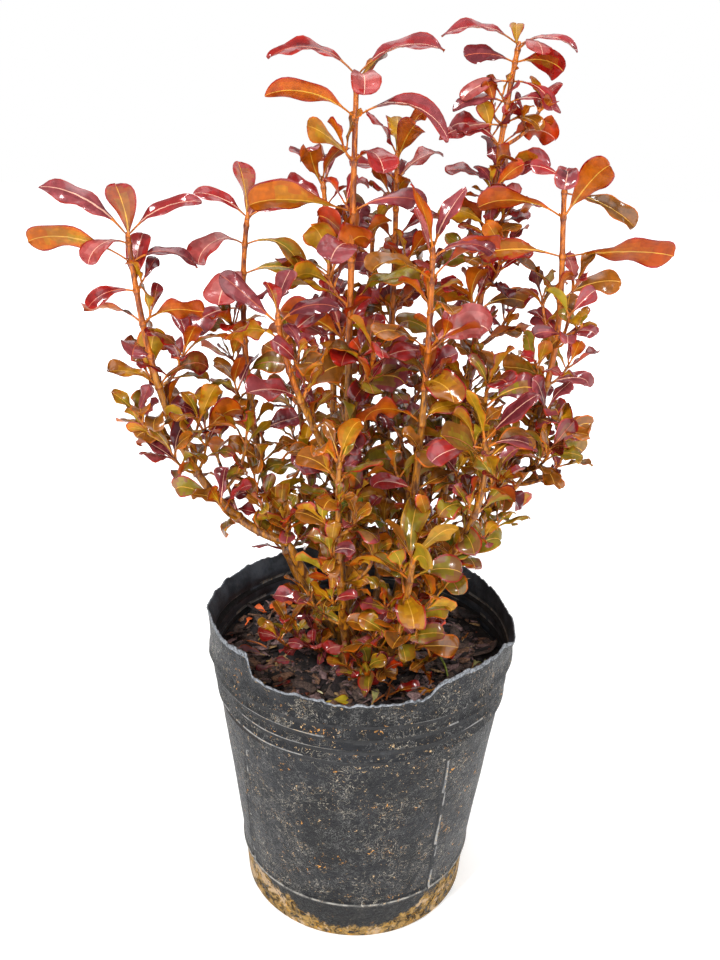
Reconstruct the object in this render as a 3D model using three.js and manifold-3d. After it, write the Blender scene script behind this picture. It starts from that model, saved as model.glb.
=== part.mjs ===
// A potted coprosma: a soft nursery pot full of potting mix, a woody crown that sits on the mix,
// and a clump of stems that each carry a mass of paired leaves.
// Millimetres, +Z up, +X to the right, +Y to the back. The origin is the middle of the pot's
// flat underside.
import * as THREE from "three";
import { mergeVertices } from "three/addons/utils/BufferGeometryUtils.js";
import Module from "manifold-3d";

const wasm = await Module();
wasm.setup();

// Clearance between neighbouring solids.
const GAP = 0.3;
// The least distance between two leaves of one mass.
const OWN_GAP = 0.05;
// Vertices of a fused mass are rounded to this, and it stays one closed body with no flat faces.
const GRID = 0.01;
// Closer together than this, two numbers count as the same.
const NEARLY = 1e-4;

// The pot.
const POT_HEIGHT = 158;
const RIM_RADIUS = 80;
const BASE_RADIUS = 59;
const WALL = 1.3;
const FLOOR = 3;
// The edge of the underside is rounded by this much.
const FOOT_ROUND = { out: 0.6, up: 1 };
const POT_SEGMENTS = 42;
// A moulded ring near the foot, with the narrower band that stands below it.
const RING_HEIGHT = 24;
const RING_RADIUS = 62.4;
const RING_HALF = 1.2;
// The wall runs straight from the ring to the lip's foot, with ribs round its upper part.
const WALL_LOW_RADIUS = 61.8;
const LIP_FOOT = 149;
const LIP_FOOT_RADIUS = 76.8;
const RIB_HEIGHTS = [123, 137, 145];
const RIB_PROUD = 0.9;
const RIB_HALF = 1.6;
// The rim is torn: two stretches of it stand up and lean in.
const TEARS = [
  { from: -164, to: -132, lift: 8, fadeIn: 26, fadeOut: 3 },
  { from: -60, to: -27, lift: 6, fadeIn: 9, fadeOut: 12 },
];
const TEAR_LEAN = 0.35;
// At the right the soft wall is pushed in a little.
const DENT = { at: 16, half: 38, depth: 3.5 };
// Elsewhere the rim waves up and down: turns per round, and where each wave starts in degrees.
const RIM_WAVE = 0.5;
const RIM_WAVES = [
  { turns: 5, start: 0 },
  { turns: 13, start: 40 },
];

// The potting mix.
const MIX_TOP = 132;
const MIX_SEGMENTS = 28;
const MIX_RINGS = [61, 48, 37, 27];
// Its edge is broken off by this much where it meets the wall.
const MIX_EDGE = 3;
// Its lumps: their height, and the waves that add up to them, as radians for each millimetre.
const MIX_LUMP = 1.2;
const MIX_WAVES = [
  { x: 0.21, y: 0.17, start: 1 },
  { x: 0.21, y: -0.17, start: 1 },
  { x: 0.09, y: -0.13, start: 2 },
];
// The mix is flat under the crown and lumpy from here on out, as distances from the crown.
const FLAT_MIX = 12;
const LUMPY_MIX = 22;

// The woody crown, widest at this share of its height, its outline as shares of its radius and
// height, and the height at which the stems start inside it.
const CROWN = { x: 4, y: 4, radius: 20, height: 8, segments: 12, widest: 0.25 };
const CROWN_OUTLINE = [
  [0, 0],
  [0.95, 0],
  [1, CROWN.widest],
  [0.8, 0.7],
  [0.45, 0.95],
  [0, 1],
];
const STEM_START = MIX_TOP + 3;

// Stems: radius at the foot and at the tip, and the sides and steps of their solids.
const FOOT_RADIUS = 2.3;
const TIP_RADIUS = 0.85;
const LIMB_SIDES = 5;
const LIMB_STEP = 14;
const AXIS_SIDES = 4;
const TWIG_SIDES = 3;
const TWIG_STEP = 24;
// A curve's last control point hangs this share of its rise below the tip.
const LAST_DROP = 0.33;
// A limb's section is squared up to X, or to Y where the limb lies closer to X than this cosine.
const LEVEL_CHORD = 0.8;

// Leaves: width and half thickness as shares of a leaf's own length, and the length from which a
// blade gets the fuller outline. An outline is [half width, share of length] from root to tip.
const LEAF_WIDTH = 0.5;
const LEAF_THICK = 0.035;
const WIDE_LEAF_LENGTH = 37;
const BLADE_SIDES = 3;
const WIDE_BLADE = [
  [0, 0],
  [0.62, 0.42],
  [1, 0.76],
  [0, 1],
];
const SMALL_BLADE = [
  [0, 0],
  [1, 0.66],
  [0, 1],
];
// How far behind its twig's axis a leaf's root lies: the first of these that fuses cleanly.
const ROOTS_SUNK = [0.15, 0.35, 0, 0.55];
// The smallest leaf of a shoot, as a share of its largest.
const LOWEST_LEAF = 0.62;
// How far leaf directions follow the stem rather than the light above.
const STEM_SHARE = 0.4;
const SHORTEST_LEAF = 11;
// Root and tip angles of the first pairs of leaves from the top, in degrees. The youngest stand
// up, and every pair below the last one listed here arches over like it.
const PAIR_ANGLES = [
  [72, 44],
  [60, 12],
  [52, -6],
  [48, -14],
];
// How far a leaf may stray from its pair's direction, length, angles and level, all told.
const STRAY = { direction: 30, length: 0.32, rootAngle: 24, tipAngle: 40, roll: 110 };
const TOP_LEAF = 0.8;
// Pairs start this far below a shoot's tip and end this far above its foot. They stand closer
// at the top: the first gap is this share of the spacing, and each next gap opens by the other.
const PAIRS = { belowTip: 1.5, aboveFoot: 3, firstGap: 0.24, opening: 0.3 };
// Side twigs in the axils: their chance at the top and the foot of a shoot, their length, how
// much longer they are at the foot, and their leaves. knee and end are the last two points of
// their curve, outward and upward, as shares of their length.
const SIDE_TWIG = {
  chance: [0.1, 0.2],
  firstPair: 2,
  length: [14, 34],
  depthShare: [0.8, 1.15],
  knee: [0.45, 0.15],
  end: [0.62, 0.7],
  radius: 1,
  bare: 0.3,
  spacing: 16,
  leafShare: 0.66,
};
// The order of growth: a stem's own leaves come first, then those of branches and side twigs.
const LEVEL = { stem: 0, branch: 1, twig: 2 };
// How far apart the seeds of two stems, and of two pairs of one stem, lie.
const SEED_STEP = { stem: 1000, pair: 2 };
const BRANCH = { radius: 1.2, bare: 0.3, spacing: 12 };
const TUFT = { spacing: 10, radius: 1.3, sweep: 0.5, flare: 0.2, rise: 0.2 };
// A twig's radius at its tip, as a share of that at its foot.
const TWIG_TAPER = 0.7;

// The stems. foot and tip are the ends of a cubic curve; sweep and rise say how far out and up
// its first control point lies, and flare how far out its last one does. spacing is the distance
// between pairs of leaves, leaf the length of the largest, turn the first pair's direction, and
// bare the share below the leaves. crest gives the top leaves that stand out:
// [direction, length, angle at the root, angle at the tip, roll], in degrees and millimetres.
const STEMS = [
  {
    name: "far_left",
    foot: [-37, -6, 200],
    tip: [-107, -4, 347],
    sweep: 0.82,
    flare: 0.06,
    rise: 0.1,
    spacing: 15,
    leaf: 33,
    turn: 180,
    bare: 0.12,
    seed: 11,
    crest: [
      [180, 44, 58, 2, -20],
      [8, 37, 48, -2, 20],
      [262, 27, 86, 66, 5],
      [215, 24, 36, -76, -8],
      [185, 47, 42, -14, 40],
      [20, 32, 34, -50, 10],
      [75, 26, 76, 58, 0],
      [200, 24, 22, -50, -25],
    ],
  },
  {
    name: "left",
    foot: [-6, 9, STEM_START],
    tip: [-57, 18, 353],
    sweep: 0.83,
    flare: -0.21,
    rise: 0.12,
    spacing: 16,
    leaf: 29,
    turn: 180,
    bare: 0.24,
    seed: 12,
    crest: [
      [184, 27, 45, -5, -25],
      [2, 26, 40, -5, 20],
      [240, 29, 86, 70, 0],
      [60, 22, 58, 24, 0],
      [205, 29, 40, -84, -8],
      [346, 32, 34, -64, 14],
      [250, 30, 34, -80, 0],
      [8, 34, 26, -30, 20],
      [205, 30, 12, -50, -20],
    ],
  },
  {
    name: "left_front",
    foot: [-3, -5, STEM_START],
    tip: [-39, -38, 322],
    sweep: -0.18,
    flare: 0.15,
    rise: 0.6,
    spacing: 16,
    leaf: 28,
    turn: 205,
    bare: 0.22,
    seed: 13,
    crest: [
      [240, 16, 80, 60, 0],
      [60, 20, 72, 46, 0],
      [178, 31, 46, 40, -25],
      [8, 28, 46, -22, 20],
    ],
  },
  {
    name: "centre",
    foot: [0, 4, STEM_START],
    tip: [-9, 2, 414],
    sweep: 1.3,
    flare: -0.05,
    rise: 0.1,
    spacing: 21,
    leaf: 40,
    turn: 180,
    bare: 0.2,
    seed: 14,
    crest: [
      [180, 41, 50, -32, -15],
      [2, 40, 52, -18, 15],
      [285, 22, 74, -88, 0],
      [35, 20, 56, 36, 0],
      [182, 41, 42, -18, 35],
      [352, 47, 40, -62, 15],
      [305, 27, 48, -60, 0],
      [165, 26, 50, 16, 25],
      [182, 46, 20, -14, 40],
      [4, 34, 35, -20, 20],
    ],
    branches: [{ at: 0.46, tip: [2, -24, 303], sweep: 0.4, flare: 0.15, rise: 0.33, leaf: 25 }],
  },
  {
    name: "back_left",
    foot: [-1, 11, STEM_START],
    tip: [-25, 50, 367],
    sweep: 0.93,
    flare: 0.5,
    rise: 0.28,
    spacing: 17,
    leaf: 27,
    turn: 170,
    bare: 0.22,
    seed: 15,
  },
  {
    name: "back",
    foot: [6, 13, STEM_START],
    tip: [10, 42, 380],
    sweep: 1.3,
    flare: -0.6,
    rise: 0.1,
    spacing: 16,
    leaf: 30,
    turn: 10,
    bare: 0.24,
    seed: 16,
  },
  {
    name: "right_front",
    foot: [9, -1, STEM_START],
    tip: [25, -20, 348],
    sweep: 0.73,
    flare: -0.11,
    rise: 0.1,
    spacing: 17,
    leaf: 34,
    turn: 190,
    bare: 0.22,
    seed: 17,
    crest: [
      [205, 29, 76, 60, 0],
      [38, 29, 62, 50, 8],
      [150, 22, 70, 58, 0],
      [8, 28, 42, -30, 20],
    ],
  },
  {
    name: "back_right",
    foot: [12, 9, STEM_START],
    tip: [63, 45, 428],
    sweep: 1.04,
    flare: 0.32,
    rise: 0.35,
    spacing: 9.5,
    leaf: 30,
    turn: 180,
    bare: 0.3,
    seed: 18,
    crest: [
      [179, 37, 34, -32, -15],
      [2, 29, 38, -40, 15],
      [300, 22, 50, -60, 0],
      [95, 17, 60, 30, 0],
      [186, 24, 20, -16, -35],
      [330, 25, 24, -34, -30],
      [188, 25, 4, -50, -28],
      [355, 25, 12, -68, 20],
      [184, 27, 24, -46, -22],
      [2, 27, 32, -42, 20],
      [182, 31, 6, -36, -22],
      [350, 20, 50, -56, 18],
    ],
  },
  {
    name: "far_right",
    foot: [15, 3, STEM_START],
    tip: [82, 5, 374],
    sweep: 1.3,
    flare: -0.06,
    rise: 0.58,
    spacing: 20,
    leaf: 30,
    turn: 190,
    bare: 0.22,
    seed: 19,
    crest: [
      [175, 17, 45, 0, -25],
      [262, 20, 66, -80, 0],
      [80, 18, 50, 10, 0],
      [8, 37, -8, -40, 40],
      [312, 33, 62, 34, -45],
      [182, 40, 38, -22, 25],
      [2, 50, 8, -6, -35],
      [184, 38, 20, -16, -20],
      [165, 28, 58, 20, 0],
      [10, 30, 40, -6, 20],
    ],
    branches: [
      { at: 0.3, tip: [53, -14, 286], sweep: 0.8, flare: -0.09, rise: 0.1, leaf: 26 },
      { at: 0.36, tip: [91, -8, 258], sweep: 0.37, flare: 0.56, rise: 0.1, leaf: 24 },
    ],
  },
  {
    name: "low_right",
    foot: [13, -5, STEM_START],
    tip: [49, -50, 274],
    sweep: 0.5,
    flare: -0.19,
    rise: 0.51,
    spacing: 14,
    leaf: 29,
    turn: 200,
    bare: 0.2,
    seed: 20,
    crest: [
      [215, 25, 76, 60, 0],
      [335, 32, 52, 38, 30],
      [10, 25, 30, -42, 10],
      [190, 25, 20, -42, -20],
    ],
  },
  {
    name: "low_front",
    foot: [7, -9, STEM_START],
    tip: [21, -62, 223],
    sweep: 0.55,
    flare: 0.07,
    rise: 0.14,
    spacing: 15,
    leaf: 30,
    turn: 180,
    bare: 0.2,
    seed: 21,
  },
  {
    name: "low_centre",
    foot: [-3, -11, STEM_START],
    tip: [-12, -48, 263],
    sweep: 0.69,
    flare: -0.07,
    rise: 0.16,
    spacing: 14,
    leaf: 24,
    turn: 160,
    bare: 0.2,
    seed: 22,
  },
  {
    name: "rear",
    foot: [0, 18, STEM_START],
    tip: [0, 80, 338],
    sweep: 0.7,
    flare: 0.1,
    rise: 0.3,
    spacing: 16,
    leaf: 29,
    turn: 0,
    bare: 0.22,
    seed: 23,
  },
  {
    name: "rear_right",
    foot: [13, 16, STEM_START],
    tip: [40, 86, 290],
    sweep: 0.6,
    flare: 0.1,
    rise: 0.3,
    spacing: 15,
    leaf: 28,
    turn: 20,
    bare: 0.22,
    seed: 24,
  },
  {
    name: "rear_left",
    foot: [-6, 16, STEM_START],
    tip: [-40, 76, 276],
    sweep: 0.6,
    flare: 0.1,
    rise: 0.3,
    spacing: 15,
    leaf: 27,
    turn: 150,
    bare: 0.22,
    seed: 25,
  },
];
// The far left stem bends away at a fork, so its lower stretch is a limb of its own, which ends
// short of the fork to stay clear of what grows on from it.
const FORK_LIMB = {
  name: "far_left_low",
  foot: [-8, 1, STEM_START],
  tip: [-37, -6, 200],
  sweep: 0.22,
  flare: 0.26,
  rise: 0.41,
  short: 1.8,
  endRadius: 2.2,
};
const FORK_SPRIG = {
  name: "fork_sprig",
  foot: [-37.6, -6.4, 203],
  tip: [-37, -15, 219],
  sweep: 0.3,
  flare: 0.2,
  rise: 0.4,
  spacing: 8,
  leaf: 19,
  turn: 190,
  bare: 0,
  seed: 31,
};
// Tufts of small leaves that break from the crown all round, close above the mix.
const TUFTS = [
  { name: "tuft_front", direction: 268, reach: 26, rise: 15, leaf: 20, seed: 41 },
  { name: "tuft_left", direction: 196, reach: 24, rise: 20, leaf: 17, seed: 42 },
  { name: "tuft_right", direction: 318, reach: 24, rise: 16, leaf: 19, seed: 43 },
  { name: "tuft_back_right", direction: 36, reach: 22, rise: 22, leaf: 17, seed: 44 },
  { name: "tuft_back_left", direction: 152, reach: 22, rise: 20, leaf: 17, seed: 45 },
];

// Finishes.
const plastic = new THREE.MeshStandardMaterial({ color: 0x3d4043, roughness: 0.75 });
const mix = new THREE.MeshStandardMaterial({ color: 0x2b2320, roughness: 1 });
const wood = new THREE.MeshStandardMaterial({ color: 0xa8602c, roughness: 0.7 });
// The higher a shoot's tip, the redder its leaves.
const LEAF_COLOURS = [
  { above: 330, colour: 0x97474a },
  { above: 250, colour: 0x8c5a35 },
  { above: 0, colour: 0x74682f },
];
const LEAF_ROUGHNESS = 0.35;

const radians = THREE.MathUtils.degToRad;
const { lerp, smoothstep } = THREE.MathUtils;
const sumOf = (values) => values.reduce((sum, value) => sum + value, 0);

// A seeded sequence of numbers from 0 to 1.
function randomFrom(seed) {
  let state = seed >>> 0;
  return () => {
    state = (Math.imul(state, 1664525) + 1013904223) >>> 0;
    return state / 4294967296;
  };
}

// A geometry as a manifold solid, turned to face out.
function solidOf(geometry) {
  const bare = geometry.clone();
  bare.deleteAttribute("normal");
  bare.deleteAttribute("uv");
  const merged = mergeVertices(bare, NEARLY);
  const solid = fromVertices(merged.attributes.position.array, Array.from(merged.index.array));
  if (solid.volume() > 0) return solid;
  return fromVertices(merged.attributes.position.array, Array.from(merged.index.array).reverse());
}

function fromVertices(positions, indices) {
  const kept = [];
  for (let i = 0; i < indices.length; i += 3) {
    const [a, b, c] = indices.slice(i, i + 3);
    if (a !== b && b !== c && c !== a) kept.push(a, b, c);
  }
  return new wasm.Manifold(
    new wasm.Mesh({
      numProp: 3,
      vertProperties: new Float32Array(positions),
      triVerts: new Uint32Array(kept),
    }),
  );
}

// A solid as a named mesh.
function meshOf(name, solid, material) {
  const { vertProperties, triVerts } = solid.getMesh();
  const geometry = new THREE.BufferGeometry();
  geometry.setAttribute("position", new THREE.BufferAttribute(vertProperties, 3));
  geometry.setIndex(new THREE.BufferAttribute(triVerts, 1));
  geometry.computeVertexNormals();
  const mesh = new THREE.Mesh(geometry, material);
  mesh.name = name;
  return mesh;
}

// Moves each vertex of a geometry to where place(x, y, z) says.
function reshaped(geometry, place) {
  const at = geometry.attributes.position;
  for (let i = 0; i < at.count; i++) {
    const moved = place(at.getX(i), at.getY(i), at.getZ(i));
    at.setXYZ(i, moved.x, moved.y, moved.z);
  }
  return geometry;
}

// A turned shape about +Z from [radius, height] pairs.
function turned(profile, segments) {
  const points = profile.map(([r, z]) => new THREE.Vector2(r, z));
  return new THREE.LatheGeometry(points, segments).rotateX(Math.PI / 2);
}

// Pot

function wallRadius(z) {
  const share = (z - RING_HEIGHT) / (LIP_FOOT - RING_HEIGHT);
  return lerp(WALL_LOW_RADIUS, LIP_FOOT_RADIUS, share);
}

function potProfile() {
  const foot = [
    [0, 0],
    [BASE_RADIUS, 0],
    [BASE_RADIUS + FOOT_ROUND.out, FOOT_ROUND.up],
    [WALL_LOW_RADIUS - RING_HALF / 2, RING_HEIGHT - 2 * RING_HALF],
    [RING_RADIUS, RING_HEIGHT - RING_HALF],
    [RING_RADIUS, RING_HEIGHT + RING_HALF],
    [wallRadius(RING_HEIGHT + 2 * RING_HALF), RING_HEIGHT + 2 * RING_HALF],
  ];
  const ribs = RIB_HEIGHTS.flatMap((z) => [
    [wallRadius(z - RIB_HALF), z - RIB_HALF],
    [wallRadius(z) + RIB_PROUD, z],
    [wallRadius(z + RIB_HALF), z + RIB_HALF],
  ]);
  const lip = [
    [LIP_FOOT_RADIUS, LIP_FOOT],
    [RIM_RADIUS, POT_HEIGHT],
    [RIM_RADIUS - WALL, POT_HEIGHT],
    [LIP_FOOT_RADIUS - WALL, LIP_FOOT],
  ];
  const inside = [
    [wallRadius(RING_HEIGHT) - 2 * WALL, RING_HEIGHT],
    [BASE_RADIUS - 2 * WALL, FLOOR],
    [0, FLOOR],
  ];
  return [...foot, ...ribs, ...lip, ...inside];
}

// How far the torn rim stands above its plain level at an angle in degrees.
function rimLift(angle) {
  const waves = RIM_WAVES.map(({ turns, start }) => Math.sin(radians(turns * angle + start)));
  const torn = TEARS.map(({ from, to, lift, fadeIn, fadeOut }) => {
    const rising = smoothstep(angle, from - fadeIn, from);
    return lift * rising * (1 - smoothstep(angle, to, to + fadeOut));
  });
  return RIM_WAVE * sumOf(waves) + Math.max(...torn);
}

function potGeometry() {
  const lipHeight = POT_HEIGHT - LIP_FOOT;
  return reshaped(turned(potProfile(), POT_SEGMENTS), (x, y, z) => {
    if (z <= LIP_FOOT + NEARLY) return new THREE.Vector3(x, y, z);
    const angle = THREE.MathUtils.radToDeg(Math.atan2(y, x));
    const lift = rimLift(angle);
    const share = (z - LIP_FOOT) / lipHeight;
    const dent = DENT.depth * (1 - smoothstep(Math.abs(angle - DENT.at), 0, DENT.half));
    const drawnIn = 1 - (share * (TEAR_LEAN * Math.max(lift, 0) + dent)) / Math.hypot(x, y);
    return new THREE.Vector3(x * drawnIn, y * drawnIn, z + lift * share);
  });
}

// Potting mix

function mixHeight(x, y) {
  const radius = Math.hypot(x - CROWN.x, y - CROWN.y);
  const waves = MIX_WAVES.map((wave) => Math.sin(x * wave.x + y * wave.y + wave.start));
  const fade = smoothstep(radius, CROWN.radius + FLAT_MIX, CROWN.radius + LUMPY_MIX);
  return MIX_TOP + MIX_LUMP * sumOf(waves) * fade;
}

function insideRadius(z) {
  const share = (z - FLOOR) / (RING_HEIGHT - FLOOR);
  if (share < 1) return lerp(BASE_RADIUS, wallRadius(RING_HEIGHT), share) - 2 * WALL;
  const upper = (z - RING_HEIGHT) / (LIP_FOOT - RING_HEIGHT);
  return lerp(wallRadius(RING_HEIGHT) - 2 * WALL, LIP_FOOT_RADIUS - WALL, upper);
}

function mixGeometry() {
  // The many-sided wall cuts inside its own circle, so the mix keeps off by that much more.
  const inset = GAP + RIM_RADIUS * (1 - Math.cos(Math.PI / MIX_SEGMENTS));
  const edgeTop = MIX_TOP - MIX_EDGE - MIX_LUMP;
  const profile = [
    [0, FLOOR + GAP],
    [insideRadius(FLOOR) - inset, FLOOR + GAP],
    [insideRadius(RING_HEIGHT) - inset, RING_HEIGHT],
    [insideRadius(edgeTop) - inset, edgeTop],
    [insideRadius(MIX_TOP) - inset - MIX_EDGE, MIX_TOP],
    ...MIX_RINGS.map((radius) => [radius, MIX_TOP]),
    [0, MIX_TOP],
  ];
  return reshaped(turned(profile, MIX_SEGMENTS), (x, y, z) => {
    const onTop = z > MIX_TOP - NEARLY;
    return new THREE.Vector3(x, y, onTop ? mixHeight(x, y) : z);
  });
}

// Stems and twigs

// The curve of a stem or a branch.
function curveOf({ foot, tip, sweep, flare, rise }) {
  const start = new THREE.Vector3(...foot);
  const end = new THREE.Vector3(...tip);
  const reach = end.clone().sub(start);
  const first = new THREE.Vector3(reach.x * sweep, reach.y * sweep, reach.z * rise).add(start);
  const last = new THREE.Vector3(-reach.x * flare, -reach.y * flare, -reach.z * LAST_DROP).add(end);
  return new THREE.CubicBezierCurve3(start, first, last, end);
}

// A tapered limb along a curve from share u0 to share u1, grown by extra all round.
function limb(curve, u0, u1, radius0, radius1, sides, steps, extra = 0, spin = 0) {
  const chord = curve.getPoint(1).sub(curve.getPoint(0)).normalize();
  const isLevel = Math.abs(chord.x) > LEVEL_CHORD;
  const level = isLevel ? new THREE.Vector3(0, 1, 0) : new THREE.Vector3(1, 0, 0);
  const cylinder = new THREE.CylinderGeometry(1, 1, 1, sides, steps).rotateY(spin);
  return solidOf(
    reshaped(cylinder, (x, y, z) => {
      const share = y + 0.5;
      const u = THREE.MathUtils.clamp(lerp(u0, u1, share), 0, 1);
      const along = curve.getTangentAt(u);
      const side = level.clone().addScaledVector(along, -level.dot(along)).normalize();
      const front = side.clone().cross(along);
      const radius = lerp(radius0, radius1, share) + extra;
      const beyond = extra * Math.sign(Math.round(2 * share - 1));
      const moved = curve.getPointAt(u).addScaledVector(along, beyond);
      return moved.addScaledVector(side, x * radius).addScaledVector(front, z * radius);
    }),
  );
}

function stemRadius(u) {
  return lerp(FOOT_RADIUS, TIP_RADIUS, u);
}

// Leaves

// A three-sided blade that bends from its root angle to its tip angle in the plane of out and up.
// The turned blade's section is a triangle in a circle, √3 of its radius wide.
function leafSolid({ root, out, up, length, rootAngle, tipAngle, roll }, sunk) {
  const blade = length > WIDE_LEAF_LENGTH ? WIDE_BLADE : SMALL_BLADE;
  const outline = blade.map(([half, share]) => new THREE.Vector2(half, share));
  const across = up.clone().cross(out);
  const turn = tipAngle - rootAngle;
  return solidOf(
    reshaped(new THREE.LatheGeometry(outline, BLADE_SIDES), (x, share, z) => {
      const angle = rootAngle + turn * share;
      const run = (length * (Math.sin(angle) - Math.sin(rootAngle))) / turn;
      const outward = run - sunk;
      const upward = (length * (Math.cos(rootAngle) - Math.cos(angle))) / turn;
      const face = up.clone().multiplyScalar(Math.cos(angle)).addScaledVector(out, -Math.sin(angle));
      const wide = across.clone().multiplyScalar(Math.cos(roll)).addScaledVector(face, Math.sin(roll));
      const thin = face.clone().multiplyScalar(Math.cos(roll)).addScaledVector(across, -Math.sin(roll));
      return root
        .clone()
        .addScaledVector(out, outward)
        .addScaledVector(up, upward)
        .addScaledVector(wide, (x * length * LEAF_WIDTH) / Math.sqrt(3))
        .addScaledVector(thin, -z * length * LEAF_THICK);
    }),
  );
}

// The growing rule

// The directions that the leaves at a point of a stem keep to.
function directions(along, azimuth) {
  const up = new THREE.Vector3(0, 0, 1 - STEM_SHARE).addScaledVector(along, STEM_SHARE).normalize();
  const level = new THREE.Vector3(Math.cos(azimuth), Math.sin(azimuth), 0);
  const out = level.addScaledVector(up, -level.dot(up)).normalize();
  return { up, out };
}

// A leaf of a pair. draw holds the five numbers that make it differ from its neighbours.
function leafOf(shoot, pair, side, depth, draw) {
  const named = shoot.crest?.[2 * pair + side];
  const stray = (i, spread) => spread * (draw[i] - 0.5);
  if (named) {
    const [direction, length, rootAngle, tipAngle, roll] = named;
    return { direction, length, rootAngle, tipAngle, roll };
  }
  const [rootAngle, tipAngle] = PAIR_ANGLES[Math.min(pair, PAIR_ANGLES.length - 1)];
  const size = shoot.leaf * lerp(1, LOWEST_LEAF, depth) * (pair === 0 ? TOP_LEAF : 1);
  return {
    direction: shoot.turn + 90 * pair + 180 * side + stray(0, STRAY.direction),
    length: size * (1 + stray(1, STRAY.length)),
    rootAngle: rootAngle + stray(2, STRAY.rootAngle),
    tipAngle: tipAngle + stray(3, STRAY.tipAngle),
    roll: stray(4, STRAY.roll),
  };
}

// Pairs of leaves down a shoot from its tip, with side twigs in some of their axils.
// Every leaf and twig that the rule could make is listed, the young ones first.
function grow(shoot, random, grown) {
  const length = shoot.curve.getLength();
  const leafy = length * (1 - shoot.bare);
  let below = PAIRS.belowTip;
  for (let pair = 0; below < leafy - PAIRS.aboveFoot; pair++) {
    const at = {
      root: shoot.curve.getPointAt(1 - below / length),
      along: shoot.curve.getTangentAt(1 - below / length),
      depth: below / leafy,
      pair,
    };
    for (const side of [0, 1]) {
      const draw = [random(), random(), random(), random(), random()];
      const leaf = leafOf(shoot, pair, side, at.depth, draw);
      grown.leaves.push({
        root: at.root,
        ...directions(at.along, radians(leaf.direction)),
        length: leaf.length,
        rootAngle: radians(leaf.rootAngle),
        tipAngle: radians(leaf.tipAngle),
        roll: radians(leaf.roll),
        level: shoot.level,
      });
      growAxil(shoot, at, leaf.direction, side, [random(), random(), random()], grown);
    }
    below += shoot.spacing * Math.min(1, PAIRS.firstGap + PAIRS.opening * pair);
  }
}

// A side twig from the axil of a leaf, with a sequence of numbers of its own. None grows above
// the last leaf of the crest.
function growAxil(shoot, { root, along, depth, pair }, direction, side, draw, grown) {
  const firstPair = Math.max(SIDE_TWIG.firstPair, (shoot.crest?.length ?? 0) / 2);
  const mayGrow = shoot.level === LEVEL.stem && !shoot.thin && pair >= firstPair;
  if (!mayGrow || draw[0] > lerp(...SIDE_TWIG.chance, depth)) return;
  const { up, out } = directions(along, radians(direction));
  const length = lerp(...SIDE_TWIG.length, draw[1]) * lerp(...SIDE_TWIG.depthShare, depth);
  const on = ([outward, upward]) =>
    root.clone().addScaledVector(out, outward * length).addScaledVector(up, upward * length);
  const { radius, bare, spacing, leafShare, knee, end } = SIDE_TWIG;
  const curve = new THREE.QuadraticBezierCurve3(root, on(knee), on(end));
  grown.twigs.push({ curve, radius });
  const turn = direction + 90 * Math.round(draw[2]);
  const twig = { curve, bare, spacing, leaf: leafShare * shoot.leaf, turn, level: LEVEL.twig };
  const seed = SEED_STEP.stem * shoot.seed + SEED_STEP.pair * pair + side;
  grow(twig, randomFrom(seed), grown);
}

// A named branch, as a shoot that leaves its stem at the share it says.
function growBranch(stem, branch, random, grown) {
  const start = stem.curve.getPointAt(branch.at);
  const curve = curveOf({ ...branch, foot: start.toArray() });
  grown.twigs.push({ curve, radius: BRANCH.radius });
  const { bare, spacing } = BRANCH;
  const { leaf } = branch;
  const shoot = { curve, bare, spacing, leaf, turn: stem.turn, level: LEVEL.branch };
  grow(shoot, random, grown);
}

// Masses, each with its own axis solid, and the twigs and leaves that wait to be placed.
function massOf(stem) {
  const random = randomFrom(stem.seed);
  const curve = stem.curve;
  const start = stem.bare + GAP / curve.getLength();
  const grown = { twigs: [], leaves: [] };
  for (const branch of stem.branches ?? []) growBranch(stem, branch, random, grown);
  grow({ ...stem, level: LEVEL.stem }, random, grown);
  const radius0 = stem.thin ? TUFT.radius : stemRadius(start);
  const steps = Math.ceil((curve.getLength() * (1 - start)) / TWIG_STEP);
  // Its flat sides face the way the leaves stand.
  const spin = radians(stem.turn) - Math.PI / AXIS_SIDES;
  const axis = limb(curve, start, 1, radius0, TIP_RADIUS, AXIS_SIDES, steps, 0, spin);
  return { name: stem.name, stem, grown, wood: [axis], solid: axis };
}

// Room that is already taken: each solid with its node, its kind and a ball round it.
const taken = [];

function ballOf(solid) {
  const { min, max } = solid.boundingBox();
  const low = new THREE.Vector3(...min);
  const high = new THREE.Vector3(...max);
  const centre = low.add(high).multiplyScalar(0.5);
  return new THREE.Sphere(centre, centre.distanceTo(high));
}

function take(node, kind, solid) {
  taken.push({ node, kind, solid, ball: ballOf(solid) });
}

// A piece keeps GAP to other nodes, and a leaf doesn't cross its own node's leaves either.
function isClear(node, kind, solid) {
  const ball = ballOf(solid);
  ball.radius += GAP;
  return !taken.some((other) => {
    const own = other.node === node;
    if (own && !(kind === "leaf" && other.kind === "leaf")) return false;
    if (!ball.intersectsSphere(other.ball)) return false;
    return solid.minGap(other.solid, GAP) < (own ? OWN_GAP : 0.9 * GAP);
  });
}

// Whether three corners of a face lie in one line.
function isFlat(positions, corners) {
  const [a, b, c] = corners.map((v) => new THREE.Vector3().fromArray(positions, 3 * v));
  return b.sub(a).cross(c.sub(a)).length() < (GRID * GRID) / 2;
}

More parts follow.
